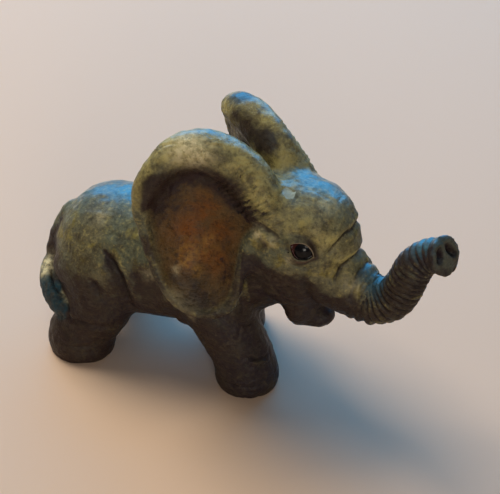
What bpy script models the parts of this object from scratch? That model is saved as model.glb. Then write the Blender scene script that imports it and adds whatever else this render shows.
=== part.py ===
"""Resin elephant calf, cast in one piece, walking with its trunk raised.

The figure faces +X and stands on four flat soles at z = 0. Every form is a round
profile carried along a short path; the forms overlap, are fused to one skin, have
their joins filled like modelled clay, and then have the folds and rings cut in.
"""

import math

import bmesh
import bpy
import numpy as np

# Driving sizes, in metres
LENGTH = 0.126  # tail to trunk tip
RING_DEPTH = 0.00045  # grooves round the trunk
FOLD_DEPTH = 0.0011  # deep skin folds at the flank and the trunk's root
NOSTRIL_DEPTH = 0.0022
SHELL_THICK = 0.0031  # ear, between its rolled rims

# Pose and finish, as shares or angles
HEAD_YAW = math.radians(-8)  # the head looks a little to the figure's right
FACES_KEPT = 9600  # triangles in the finished solid
FILL_ROUNDS = 44  # passes that fill the joins between forms
EASE_ROUNDS = 50  # passes where the joins are eased further
SOFTEN_ROUNDS = 3

RING_PITCH = 1.9  # in the drawn units below
RING_FROM = 22.0  # distance along the trunk's path to the first ring
UNIT = LENGTH / 126.0  # the forms are drawn on a figure 126 units long
SKIN_GRAIN = 0.8 * UNIT  # spacing of the fused skin's points

# Each row is x, y, z, half width, half height of a profile on the form's path
TORSO = (
    (-59.4, 0.0, 26.9, 16.5, 16.2),
    (-51.0, 0.0, 27.7, 17.4, 17.5),
    (-40.0, 0.0, 29.6, 18.5, 19.0),
    (-25.0, 0.0, 30.8, 18.8, 19.5),
    (-10.0, 0.0, 32.7, 17.6, 18.3),
    (3.0, -0.5, 36.6, 14.2, 15.0),
    (14.0, -1.5, 43.0, 12.0, 12.0),
)
TRUNK = (
    (18.0, 0.0, 46.0, 12.0, 12.5),
    (28.0, 0.0, 42.4, 10.4, 10.6),
    (35.5, 0.0, 38.8, 8.4, 8.5),
    (41.3, 0.0, 37.0, 6.9, 6.9),
    (46.2, 0.0, 39.0, 6.2, 6.1),
    (49.3, 0.0, 43.8, 5.6, 5.6),
    (51.3, 0.0, 49.4, 5.3, 5.3),
    (53.5, 0.0, 54.7, 4.9, 5.0),
    (56.6, 0.0, 58.1, 4.4, 4.6),
    (59.2, -0.3, 59.5, 4.5, 4.7),
    (60.9, -0.7, 60.1, 5.7, 5.8),
    (62.1, -1.0, 60.6, 5.9, 5.9),
)
JAW = (
    (19.6, 0.0, 29.0, 6.4, 6.4),
    (22.0, 0.0, 26.2, 6.0, 5.2),
    (25.6, 0.0, 25.4, 4.8, 3.8),
    (29.6, 0.0, 26.2, 3.4, 2.4),
)
EAR_RIM = (
    (15.8, -9.8, 59.6, 4.6, 4.6),
    (11.8, -8.4, 63.8, 5.8, 5.8),
    (8.0, -7.9, 68.6, 6.1, 6.1),
    (3.9, -8.3, 72.4, 6.1, 6.1),
    (-1.0, -9.8, 75.6, 6.0, 6.0),
    (-6.4, -11.9, 77.0, 5.7, 5.7),
    (-11.5, -14.9, 75.7, 4.9, 4.9),
    (-14.9, -19.8, 71.9, 4.0, 4.0),
    (-17.2, -22.5, 66.6, 3.2, 3.2),
    (-17.6, -23.8, 60.8, 2.4, 2.4),
    (-15.8, -24.8, 53.6, 1.9, 1.9),
    (-12.2, -25.6, 44.2, 1.7, 1.7),
    (-8.2, -25.2, 36.8, 1.7, 1.7),
    (-3.2, -24.4, 33.2, 1.7, 1.7),
    (2.2, -22.8, 32.6, 1.7, 1.7),
    (6.4, -19.6, 34.4, 1.7, 1.7),
    (7.8, -16.8, 40.0, 1.7, 1.7),
    (8.6, -15.0, 48.0, 1.7, 1.7),
    (10.4, -13.4, 54.6, 2.2, 2.2),
)
NEAR_FORELEG = (
    (-7.0, -7.0, 38.0, 8.5, 11.0),
    (-6.3, -9.8, 32.0, 9.0, 11.2),
    (-4.7, -10.8, 27.0, 9.2, 10.7),
    (0.2, -11.2, 17.5, 8.8, 9.5),
    (4.0, -11.2, 9.8, 8.7, 9.1),
    (5.2, -11.0, 4.2, 9.2, 9.5),
    (5.4, -11.0, 1.4, 9.2, 9.5),
    (5.4, -11.0, -1.0, 8.2, 8.5),
)
FAR_FORELEG = (
    (-9.0, 7.0, 38.0, 8.5, 11.0),
    (-9.2, 9.6, 32.0, 9.0, 11.6),
    (-9.0, 10.8, 26.0, 9.2, 10.8),
    (-8.4, 11.4, 15.5, 8.7, 9.2),
    (-7.6, 11.4, 8.8, 8.6, 8.9),
    (-7.4, 11.2, 4.2, 9.0, 9.2),
    (-7.4, 11.2, 1.4, 9.0, 9.2),
    (-7.4, 11.2, -1.0, 8.0, 8.2),
)
NEAR_HINDLEG = (
    (-46.0, -6.5, 36.0, 9.5, 13.0),
    (-43.6, -9.6, 30.0, 10.0, 13.6),
    (-41.5, -10.8, 25.0, 9.8, 12.4),
    (-40.8, -12.8, 16.4, 8.9, 10.0),
    (-44.6, -14.0, 9.2, 8.9, 9.5),
    (-46.8, -14.8, 4.6, 9.7, 10.2),
    (-47.0, -15.0, 1.6, 9.8, 10.4),
    (-47.0, -15.0, -1.0, 8.9, 9.5),
)
FAR_HINDLEG = (
    (-47.0, 6.5, 36.0, 9.5, 13.0),
    (-45.6, 9.4, 30.0, 10.0, 13.6),
    (-44.0, 10.2, 25.0, 9.6, 12.4),
    (-45.0, 11.4, 16.0, 8.8, 10.0),
    (-49.4, 11.6, 9.0, 9.0, 9.4),
    (-51.4, 11.4, 4.4, 9.6, 9.8),
    (-51.8, 11.4, 1.5, 9.6, 9.8),
    (-51.8, 11.4, -1.0, 8.6, 8.8),
)
TAIL = (
    (-50.5, 0.0, 39.6, 3.2, 3.2),
    (-56.2, 0.0, 37.4, 3.1, 3.1),
    (-59.2, -0.6, 32.4, 2.7, 2.7),
    (-60.2, -2.6, 27.2, 2.4, 2.4),
    (-60.0, -6.0, 22.8, 2.4, 2.4),
)
TUFT = (
    (-60.4, -5.4, 23.6, 2.3, 2.3),
    (-59.2, -9.8, 20.6, 2.9, 3.0),
    (-56.9, -13.4, 18.0, 3.2, 3.4),
    (-53.4, -16.2, 15.8, 3.1, 3.4),
    (-50.4, -18.0, 14.0, 2.5, 2.8),
    (-48.8, -18.8, 12.8, 1.0, 1.0),
)
# Each row is x, y, z and the three half sizes of a rounded mass
SKULL = (16.0, 0.0, 51.0, 18.6, 15.6, 17.8)
FOREHEAD = (20.5, 0.0, 56.0, 14.2, 12.6, 12.6)
CHEEK = (17.8, -5.0, 42.0, 11.2, 8.2, 11.4)
CHIN = (20.6, 0.0, 30.5, 5.4, 9.6, 9.3)
NECK = (7.2, -0.5, 42.0, 13.5, 13.0, 12.4)
BROW = (27.6, 0.0, 52.4, 8.4, 8.8, 8.2)
EAR_HOLLOW = (-3.0, -11.4, 58.0)  # the deepest point of the ear's dish
EAR_ROOT = (12.0, -9.0, 62.0)
RIGHT_EAR, LEFT_EAR = 1.02, 0.955  # the modelled ears differ a little in size
ELBOW = (-12.6, -13.0, 20.0, 3.4, 2.8, 2.6)
EYE = (25.0, -12.9, 56.0)
EYE_SIZE = (3.8, 2.6)  # half length and half height of the lids' opening
EYE_TILT = math.radians(-21)

# Each fold is its width, its share of FOLD_DEPTH, and the points it runs through
HEAD_FOLDS = (
    (1.3, 0.8, ((34.6, 0.0, 58.6), (33.7, -3.4, 58.6), (32.5, -6.6, 57.0), (31.3, -8.4, 55.1), (30.2, -10.0, 53.3))),
    (1.3, 0.8, ((35.2, 0.0, 50.9), (34.6, -2.6, 50.6), (34.0, -4.9, 49.7), (33.7, -6.4, 48.2), (33.0, -7.8, 46.0))),
    (1.2, 0.7, ((38.3, 0.0, 47.3), (37.9, -2.2, 47.1), (37.9, -4.8, 45.5), (37.9, -6.4, 43.6), (37.4, -7.4, 41.0))),
    (1.6, 0.7, ((26.4, -12.2, 46.2), (26.0, -11.3, 42.6), (26.5, -9.2, 37.1), (28.2, -6.8, 31.6))),
    (1.2, 0.7, ((19.0, -13.6, 59.2), (22.4, -12.6, 60.8), (25.6, -11.4, 60.4), (28.3, -10.6, 58.0), (29.4, -10.8, 54.6))),
)
BODY_FOLDS = (
    (1.7, 1.2, ((-36.2, -16.2, 38.7), (-33.3, -17.8, 35.3), (-30.9, -18.7, 31.2), (-29.7, -18.6, 26.7), (-29.3, -17.2, 22.0))),
    (1.2, 0.6, ((-39.6, -19.5, 30.0), (-38.0, -19.9, 27.4), (-36.8, -20.1, 24.6))),
    (1.0, 0.5, ((3.0, -20.0, 12.6), (5.3, -19.5, 13.7), (8.6, -17.8, 14.5), (11.4, -14.0, 14.7), (12.0, -10.2, 14.1))),
    (1.5, 1.1, ((-57.6, -10.6, 23.6), (-56.2, -12.8, 22.2), (-52.9, -16.3, 20.4), (-49.6, -18.7, 18.2), (-47.4, -20.0, 15.0))),
)
NOSTRILS = (
    ((60.8, -2.9, 62.8), (61.1, -3.7, 60.6)),
    ((61.5, 0.2, 62.6), (62.9, 1.7, 59.8)),
)
# Where joins are eased further: x, y, z and reach, on the head and on the body
HEAD_EASED = ((17.6, -13.0, 42.0, 9.0),)
BODY_EASED = ((-44.0, -16.0, 38.0, 9.0), (-45.0, 16.0, 38.0, 9.0), (-60.0, 0.0, 36.0, 7.0), (-5.0, 15.0, 36.0, 8.0))
FAR_THIGH_SHIFT = -5.0  # the left hind leg stands this much further back


def resampled(rows, count):
    """Catmull-Rom curve through the rows, evenly spaced along its length."""
    rows = np.array(rows, float)
    ends = np.vstack([2 * rows[0] - rows[1], rows, 2 * rows[-1] - rows[-2]])
    steps = np.linspace(0, len(rows) - 1, 40 * len(rows))
    whole = np.minimum(steps.astype(int), len(rows) - 2)
    t = (steps - whole)[:, None]
    p0, p1, p2, p3 = (ends[whole + k] for k in range(4))
    curve = 0.5 * (2 * p1 + (p2 - p0) * t + (2 * p0 - 5 * p1 + 4 * p2 - p3) * t**2 + (3 * p1 - p0 - 3 * p2 + p3) * t**3)
    walked = np.append(0, np.cumsum(np.linalg.norm(np.diff(curve[:, :3], axis=0), axis=1)))
    at = np.linspace(0, walked[-1], count)
    return np.stack([np.interp(at, walked, column) for column in curve.T], axis=1)


def loft(rows, rings, sides, round_start=0.0, round_end=0.0):
    """Closed tube: elliptical profiles square to the path, with rounded or flat ends."""
    stations = resampled(rows, rings)
    centre, size = stations[:, :3], stations[:, 3:5].copy()
    walked = np.append(0, np.cumsum(np.linalg.norm(np.diff(centre, axis=0), axis=1)))
    for reach, distance in ((round_start, walked), (round_end, walked[-1] - walked)):
        if reach:
            near = np.clip(distance / reach, 0.004, 1)
            size *= np.sqrt(1 - (1 - near) ** 2)[:, None]
    along = np.gradient(centre, axis=0)
    along /= np.linalg.norm(along, axis=1)[:, None]
    side = np.array([0.0, 1.0, 0.0]) - along * along[:, 1:2]
    side /= np.linalg.norm(side, axis=1)[:, None]
    rise = np.cross(along, side)
    turn = np.linspace(0, 2 * math.pi, sides, endpoint=False)
    grid = (
        centre[:, None]
        + side[:, None] * (size[:, :1] * np.cos(turn))[..., None]
        + rise[:, None] * (size[:, 1:] * np.sin(turn))[..., None]
    )
    index = np.arange(rings * sides).reshape(rings, sides)
    here, over = index[:-1], index[1:]
    quads = np.stack([here, np.roll(here, -1, 1), np.roll(over, -1, 1), over], axis=-1).reshape(-1, 4)
    return grid.reshape(-1, 3), quads.tolist() + [index[0, ::-1].tolist(), index[-1].tolist()]


def mass(x, y, z, length, width, height, rings=24, sides=32):
    """Rounded mass: a loft along X whose profiles follow an ellipse."""
    across = ((x - length, y, z, width, height), (x + length, y, z, width, height))
    return loft(across, rings, sides, round_start=length, round_end=length)


def ear_shell(rim_rows, hollow, thickness):
    """Dish from the rim to its deepest point, with an inner and an outer skin."""
    around, inward = 64, 14
    closed_rows = rim_rows + (rim_rows[0],)
    edge = resampled(closed_rows, around + 1)[:-1]
    edge_point = edge[:, :3] + np.array([0.0, 0.45, 0.0]) * np.maximum(edge[:, 3:4] - 2.0, 0)
    deep = np.array(hollow)
    share = np.linspace(0, 1, inward)[:, None, None]
    flat = deep + (edge_point - deep) * share
    depth = deep[1] + (edge_point[:, 1] - deep[1]) * share[..., 0] ** 1.7
    middle = np.dstack([flat[..., 0], depth, flat[..., 2]])
    offset = np.array([0.0, 0.5 * thickness, 0.0])
    outer, inner = (middle - offset).reshape(-1, 3), (middle + offset).reshape(-1, 3)
    index = np.arange(inward * around).reshape(inward, around)
    here, over = index[:-1], index[1:]
    quads = np.stack([here, np.roll(here, -1, 1), np.roll(over, -1, 1), over], axis=-1).reshape(-1, 4)
    count = inward * around
    last = index[-1]
    wall = np.stack([last, np.roll(last, -1), np.roll(last, -1) + count, last + count], axis=-1)
    faces = quads.tolist() + (quads[:, ::-1] + count).tolist() + wall.tolist()
    return np.vstack([outer, inner]), faces


def mirrored(points, faces):
    """The same form on the figure's other side."""
    return points * np.array([1.0, -1.0, 1.0]), [face[::-1] for face in faces]


def sized(form, share):
    """An ear's form, made larger or smaller about the ear's root."""
    points, faces = form
    root = np.array(EAR_ROOT)
    return root + (points - root) * share, faces


def turned(points):
    """The head's forms, turned with the head about the neck."""
    c, s = math.cos(HEAD_YAW), math.sin(HEAD_YAW)
    return points @ np.array([[c, -s, 0.0], [s, c, 0.0], [0.0, 0.0, 1.0]]).T


def turned_rows(rows):
    """Rows that start with x, y, z, turned with the head."""
    rows = np.array(rows, float)
    return np.hstack([turned(rows[:, :3]), rows[:, 3:]])


def body_forms():
    """Torso, legs and tail."""
    forms = [loft(TORSO, 60, 48, round_start=17.0, round_end=6.0)]
    for leg in (NEAR_FORELEG, FAR_FORELEG, NEAR_HINDLEG, FAR_HINDLEG):
        forms.append(loft(leg, 44, 36, round_start=9.0))
    forms.append(mass(*ELBOW))
    forms.append(loft(TAIL, 40, 16, round_start=2.0, round_end=2.0))
    forms.append(loft(TUFT, 30, 18, round_start=2.0, round_end=2.5))
    return forms


def head_forms():
    """Skull, cheeks, jaw, trunk and both ears, looking along +X."""
    forms = [mass(*SKULL), mass(*FOREHEAD), mass(*BROW), mass(*NECK), mass(*CHIN)]
    forms.append(loft(JAW, 30, 28, round_end=3.4))
    forms.append(loft(TRUNK, 120, 40, round_start=8.0, round_end=0.7))
    forms += [mass(*CHEEK), mirrored(*mass(*CHEEK))]
    for form in (loft(EAR_RIM + (EAR_RIM[0],), 130, 20), ear_shell(EAR_RIM, EAR_HOLLOW, SHELL_THICK / UNIT)):
        forms += [sized(form, RIGHT_EAR), mirrored(*sized(form, LEFT_EAR))]
    return [(turned(points), faces) for points, faces in forms]


def joined(forms):
    """One mesh that holds every form."""
    points, faces, start = [], [], 0
    for form_points, form_faces in forms:
        points.append(form_points)
        faces += [[start + corner for corner in face] for face in form_faces]
        start += len(form_points)
    mesh = bpy.data.meshes.new("forms")
    mesh.from_pydata((np.vstack(points) * UNIT).tolist(), [], faces)
    mesh.validate()
    work = bmesh.new()
    work.from_mesh(mesh)
    bmesh.ops.recalc_face_normals(work, faces=work.faces)
    work.to_mesh(mesh)
    work.free()
    return mesh


def fused(mesh, grain):
    """The outer skin of the overlapping forms, as evenly spaced quads."""
    rough = bpy.data.objects.new("forms", mesh)
    bpy.context.scene.collection.objects.link(rough)
    remesh = rough.modifiers.new("Fuse", "REMESH")
    remesh.mode = "VOXEL"
    remesh.voxel_size = grain
    graph = bpy.context.evaluated_depsgraph_get()
    skin = bpy.data.meshes.new_from_object(rough.evaluated_get(graph))
    bpy.data.objects.remove(rough)
    return skin


def points_of(mesh):
    flat = np.empty(len(mesh.vertices) * 3, np.float32)
    mesh.vertices.foreach_get("co", flat)
    return flat.reshape(-1, 3).astype(float)


def put_points(mesh, points):
    mesh.vertices.foreach_set("co", points.astype(np.float32).ravel())
    mesh.update()


def normals_of(mesh):
    flat = np.empty(len(mesh.vertices) * 3, np.float32)
    mesh.vertex_normals.foreach_get("vector", flat)
    return flat.reshape(-1, 3).astype(float)


def neighbour_mean(points, edges):
    """Average of each point's neighbours along the skin's edges."""
    total = np.zeros_like(points)
    for a, b in ((0, 1), (1, 0)):
        for axis in range(3):
            total[:, axis] += np.bincount(edges[:, a], points[edges[:, b], axis], len(points))
    return total / np.bincount(edges.ravel(), minlength=len(points))[:, None]


def fill_joins(mesh, rounds, soften):
    """Fills the inward creases where forms meet, then eases the whole skin slightly."""
    edges = np.empty(len(mesh.edges) * 2, np.int32)
    mesh.edges.foreach_get("vertices", edges)
    edges = edges.reshape(-1, 2)
    for _ in range(rounds):
        points = points_of(mesh)
        pull = neighbour_mean(points, edges) - points
        inward = np.einsum("ij,ij->i", pull, normals_of(mesh))
        share = np.clip(inward / (0.06 * SKIN_GRAIN), 0, 1)
        put_points(mesh, points + 0.6 * share[:, None] * pull)
    points = points_of(mesh)
    spots = [row for x, y, z, reach in HEAD_EASED for row in ((x, y, z, reach), (x, -y, z, reach))]
    spots = np.vstack([turned_rows(spots), np.array(BODY_EASED)]) * UNIT
    share = np.zeros(len(points))
    for x, y, z, reach in spots:
        share = np.maximum(share, np.clip(1.4 - 1.4 * np.linalg.norm(points - (x, y, z), axis=1) / reach, 0, 1))
    for _ in range(EASE_ROUNDS):
        points = points + 0.5 * share[:, None] * (neighbour_mean(points, edges) - points)
    put_points(mesh, points)
    for _ in range(soften):
        points = points_of(mesh)
        for step in (0.5, -0.52):
            points = points + step * (neighbour_mean(points, edges) - points)
        put_points(mesh, points)


def onto_skin(path, points, normals):
    """A smooth path through the given points, laid on the skin."""
    path = resampled([row + (0, 0) for row in path], 60)[:, :3] * UNIT
    for k, spot in enumerate(path):
        nearest = np.argmin(((points - spot) ** 2).sum(axis=1))
        path[k] = spot - normals[nearest] * ((spot - points[nearest]) @ normals[nearest])
    return path


def pressed(points, normals, path, width, depth, closed=False):
    """Presses a groove along the path that fades out at its open ends."""
    path = onto_skin(path, points, normals)
    width, depth = width * UNIT, depth * UNIT
    near = np.nonzero(((points > path.min(axis=0) - 3 * width) & (points < path.max(axis=0) + 3 * width)).all(axis=1))[0]
    gaps = np.linalg.norm(points[near, None] - path[None], axis=2)
    share = gaps.argmin(axis=1) / (len(path) - 1)
    fade = np.ones(len(near)) if closed else np.sqrt(np.clip(np.sin(math.pi * np.clip(share, 0.04, 0.96)) * 1.6, 0, 1))
    push = np.zeros(len(points))
    push[near] = depth * fade * np.exp(-((gaps.min(axis=1) / (0.6 * width)) ** 2))
    return points - normals * push[:, None]


def mirror_path(path, shift=0.0):
    return tuple((x + shift, -y, z) for x, y, z in path)


def turned_path(path):
    return tuple(tuple(row) for row in turned(np.array(path, float)).tolist())


def eye_ring():
    """Closed almond round the eye, in the head's own frame."""
    rows = []
    for k in range(17):
        turn = 2 * math.pi * k / 16
        along, rise = EYE_SIZE[0] * math.cos(turn), EYE_SIZE[1] * math.sin(turn)
        x = along * math.cos(EYE_TILT) - rise * math.sin(EYE_TILT)
        z = along * math.sin(EYE_TILT) + rise * math.cos(EYE_TILT)
        rows.append((EYE[0] + x, EYE[1] + 0.38 * x, EYE[2] + z))
    return tuple(rows)


def trunk_rings(points, normals):
    """Grooves square to the trunk's path, from its bend to just short of the tip."""
    path = resampled(TRUNK, 260)
    centre = turned(path[:, :3]) * UNIT
    walked = np.append(0, np.cumsum(np.linalg.norm(np.diff(centre, axis=0), axis=1))) / UNIT
    near = np.nonzero(points[:, 0] > 32 * UNIT)[0]
    gaps = np.linalg.norm(points[near, None] - centre[None], axis=2)
    nearest = gaps.argmin(axis=1)
    at = walked[nearest]
    ends = np.clip((at - RING_FROM) / 4, 0, 1) * np.clip((walked[-1] - 3.4 - at) / 1.0, 0, 1)
    groove = np.abs(np.cos(math.pi * at / RING_PITCH)) ** 3
    push = np.zeros(len(points))
    push[near] = RING_DEPTH * ends * groove * (gaps.min(axis=1) < 1.3 * path[nearest, 3] * UNIT)
    return points - normals * push[:, None]


def carved(mesh):
    """Skin folds, mouth, eyes, trunk rings and nostrils, pressed in one after another."""
    points = points_of(mesh)
    cuts = []
    for width, share, path in HEAD_FOLDS:
        if path[0][1] == 0.0:
            cuts.append((turned_path(mirror_path(path)[:0:-1] + path), width, share, False))
        else:
            cuts += [(turned_path(side), width, share, False) for side in (path, mirror_path(path))]
    for width, share, path in BODY_FOLDS:
        cuts.append((path, width, share, False))
    cuts.append((mirror_path(BODY_FOLDS[0][2], FAR_THIGH_SHIFT), *BODY_FOLDS[0][:2], False))
    for side in (eye_ring(), mirror_path(eye_ring())):
        cuts.append((turned_path(side), 1.5, 0.9, True))
    for slit in NOSTRILS:
        cuts.append((turned_path(slit), 1.5, NOSTRIL_DEPTH / FOLD_DEPTH, False))
    for path, width, share, closed in cuts:
        points = pressed(points, normals_of(mesh), path, width, share * FOLD_DEPTH / UNIT, closed)
        put_points(mesh, points)
    put_points(mesh, trunk_rings(points, normals_of(mesh)))


def finished(mesh):
    """Flat soles at the floor, centred over the origin."""
    work = bmesh.new()
    work.from_mesh(mesh)
    everything = work.verts[:] + work.edges[:] + work.faces[:]
    cut = bmesh.ops.bisect_plane(work, geom=everything, plane_co=(0, 0, 0), plane_no=(0, 0, 1), clear_inner=True)
    rims = [item for item in cut["geom_cut"] if isinstance(item, bmesh.types.BMEdge)]
    bmesh.ops.holes_fill(work, edges=rims)
    bmesh.ops.triangulate(work, faces=[face for face in work.faces if len(face.verts) > 4])
    xs = [vert.co.x for vert in work.verts]
    ys = [vert.co.y for vert in work.verts]
    centre = ((min(xs) + max(xs)) / 2, (min(ys) + max(ys)) / 2, 0.0)
    print("centre shift", [round(value / UNIT, 3) for value in centre])
    bmesh.ops.translate(work, verts=work.verts, vec=[-value for value in centre])
    work.to_mesh(mesh)
    work.free()
    return mesh


def resin():
    """Painted casting resin, a mottled grey olive."""
    material = bpy.data.materials.new("painted_resin")
    material.use_nodes = True
    shader = material.node_tree.nodes["Principled BSDF"]
    shader.inputs["Base Color"].default_value = (0.15, 0.145, 0.09, 1.0)
    shader.inputs["Roughness"].default_value = 0.5
    shader.inputs["Metallic"].default_value = 0.0
    return material


def main():
    for item in list(bpy.data.objects):
        bpy.data.objects.remove(item)
    skin = fused(joined(body_forms() + head_forms()), SKIN_GRAIN)
    fill_joins(skin, FILL_ROUNDS, SOFTEN_ROUNDS)
    carved(skin)
    skin = finished(skin)
    skin.name = "elephant"
    elephant = bpy.data.objects.new("elephant", skin)
    bpy.context.scene.collection.objects.link(elephant)
    elephant.data.materials.append(resin())
    skin.shade_smooth()
    thinned = elephant.modifiers.new("Facets", "DECIMATE")
    triangles = sum(len(face.vertices) - 2 for face in skin.polygons)
    thinned.ratio = min(1.0, FACES_KEPT / triangles)


main()
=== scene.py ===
# Resin elephant calf: one casting, painted and varnished, walking with its trunk raised.
# The skin is built from round profiles carried along paths, fused, eased and then carved.

import math

import bmesh
import bpy
import numpy as np
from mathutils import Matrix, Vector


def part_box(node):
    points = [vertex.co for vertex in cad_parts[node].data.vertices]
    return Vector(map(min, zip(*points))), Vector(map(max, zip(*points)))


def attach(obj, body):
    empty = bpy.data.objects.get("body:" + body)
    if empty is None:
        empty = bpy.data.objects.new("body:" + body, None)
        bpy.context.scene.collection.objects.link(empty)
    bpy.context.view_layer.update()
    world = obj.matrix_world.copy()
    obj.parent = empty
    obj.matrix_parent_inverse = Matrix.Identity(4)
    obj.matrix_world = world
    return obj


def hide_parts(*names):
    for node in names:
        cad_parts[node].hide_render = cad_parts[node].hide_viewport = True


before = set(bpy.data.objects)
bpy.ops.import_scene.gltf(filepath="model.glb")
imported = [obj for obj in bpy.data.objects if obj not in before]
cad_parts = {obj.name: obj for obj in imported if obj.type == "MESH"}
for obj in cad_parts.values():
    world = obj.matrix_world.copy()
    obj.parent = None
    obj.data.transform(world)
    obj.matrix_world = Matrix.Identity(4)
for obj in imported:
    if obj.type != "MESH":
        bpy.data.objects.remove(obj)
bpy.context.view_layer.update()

mm = 0.001  # the forms are drawn in millimetres
headYaw = math.radians(-8)  # the head looks a little to the figure's right
trisKept = 192000


# Curves and tubes

# Catmull-Rom curve 0.5 (2 b + (c - a) t + (2 a - 5 b + 4 c - d) t2 + (3 b - a - 3 c + d) t3),
# walked at an even pace
def resampled(rows, count):
    rows = np.array(rows, float)
    ends = np.vstack([2 * rows[0] - rows[1], rows, 2 * rows[-1] - rows[-2]])
    steps = np.linspace(0, len(rows) - 1, 40 * len(rows))
    whole = np.minimum(steps.astype(int), len(rows) - 2)
    t = (steps - whole)[:, None]
    a, b, c, d = (ends[whole + k] for k in range(4))
    curve = 0.5 * (
        2 * b + (c - a) * t + (2 * a - 5 * b + 4 * c - d) * t**2 + (3 * b - a - 3 * c + d) * t**3
    )
    walked = lengthsAlong(curve[:, :3])
    at = np.linspace(0, walked[-1], count)
    return np.stack([np.interp(at, walked, column) for column in curve.T], axis=1)


# Distance walked along a path: the running sum of the gaps between its points
def lengthsAlong(path):
    return np.append(0, np.cumsum(np.linalg.norm(np.diff(path, axis=0), axis=1)))


# Quads of a grid that closes in its second direction
def gridFaces(rows, around):
    index = np.arange(rows * around).reshape(rows, around)
    here, over = index[:-1], index[1:]
    quads = np.stack([here, np.roll(here, -1, 1), np.roll(over, -1, 1), over], axis=-1)
    return index, quads.reshape(-1, 4)


# Tube: centre(s) + side(s) width(s) cos a + rise(s) height(s) sin a, where an end that is
# rounded has its profile scaled by sqrt(1 - (1 - distance / reach)^2)
def tube(rows, rings, sides, roundStart=0.0, roundEnd=0.0):
    stations = resampled(rows, rings)
    centre, size = stations[:, :3], stations[:, 3:5].copy()
    walked = lengthsAlong(centre)
    for reach, distance in ((roundStart, walked), (roundEnd, walked[-1] - walked)):
        if reach:
            near = np.clip(distance / reach, 0.004, 1)
            size *= np.sqrt(1 - (1 - near) ** 2)[:, None]
    along, side, rise = pathFrame(centre)
    turn = np.linspace(0, 2 * math.pi, sides, endpoint=False)
    grid = (
        centre[:, None]
        + side[:, None] * (size[:, :1] * np.cos(turn))[..., None]
        + rise[:, None] * (size[:, 1:] * np.sin(turn))[..., None]
    )
    index, quads = gridFaces(rings, sides)
    return grid.reshape(-1, 3), quads.tolist() + [index[0, ::-1].tolist(), index[-1].tolist()]


# Directions along a path, to its left (as near +Y as it can be) and square to both
def pathFrame(centre):
    along = np.gradient(centre, axis=0)
    along /= np.linalg.norm(along, axis=1)[:, None]
    side = np.array([0.0, 1.0, 0.0]) - along * along[:, 1:2]
    side /= np.linalg.norm(side, axis=1)[:, None]
    return along, side, np.cross(along, side)


# Rounded mass: a tube along X whose profile follows an ellipse
def roundMass(x, y, z, length, width, height):
    across = ((x - length, y, z, width, height), (x + length, y, z, width, height))
    return tube(across, 24, 32, roundStart=length, roundEnd=length)


# The form's mirror image on the other side
def mirrored(form):
    points, faces = form
    return points * np.array([1.0, -1.0, 1.0]), [face[::-1] for face in faces]


# Turn about Z by the head's yaw: x' = x cos - y sin, y' = x sin + y cos
def turned(points, angle=headYaw):
    c, s = math.cos(angle), math.sin(angle)
    return points @ np.array([[c, -s, 0.0], [s, c, 0.0], [0.0, 0.0, 1.0]]).T


def towards(value, start, end):  # smooth 0 to 1 as value goes from start to end
    t = np.clip((value - start) / (end - start), 0, 1)
    return t * t * (3 - 2 * t)


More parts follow.
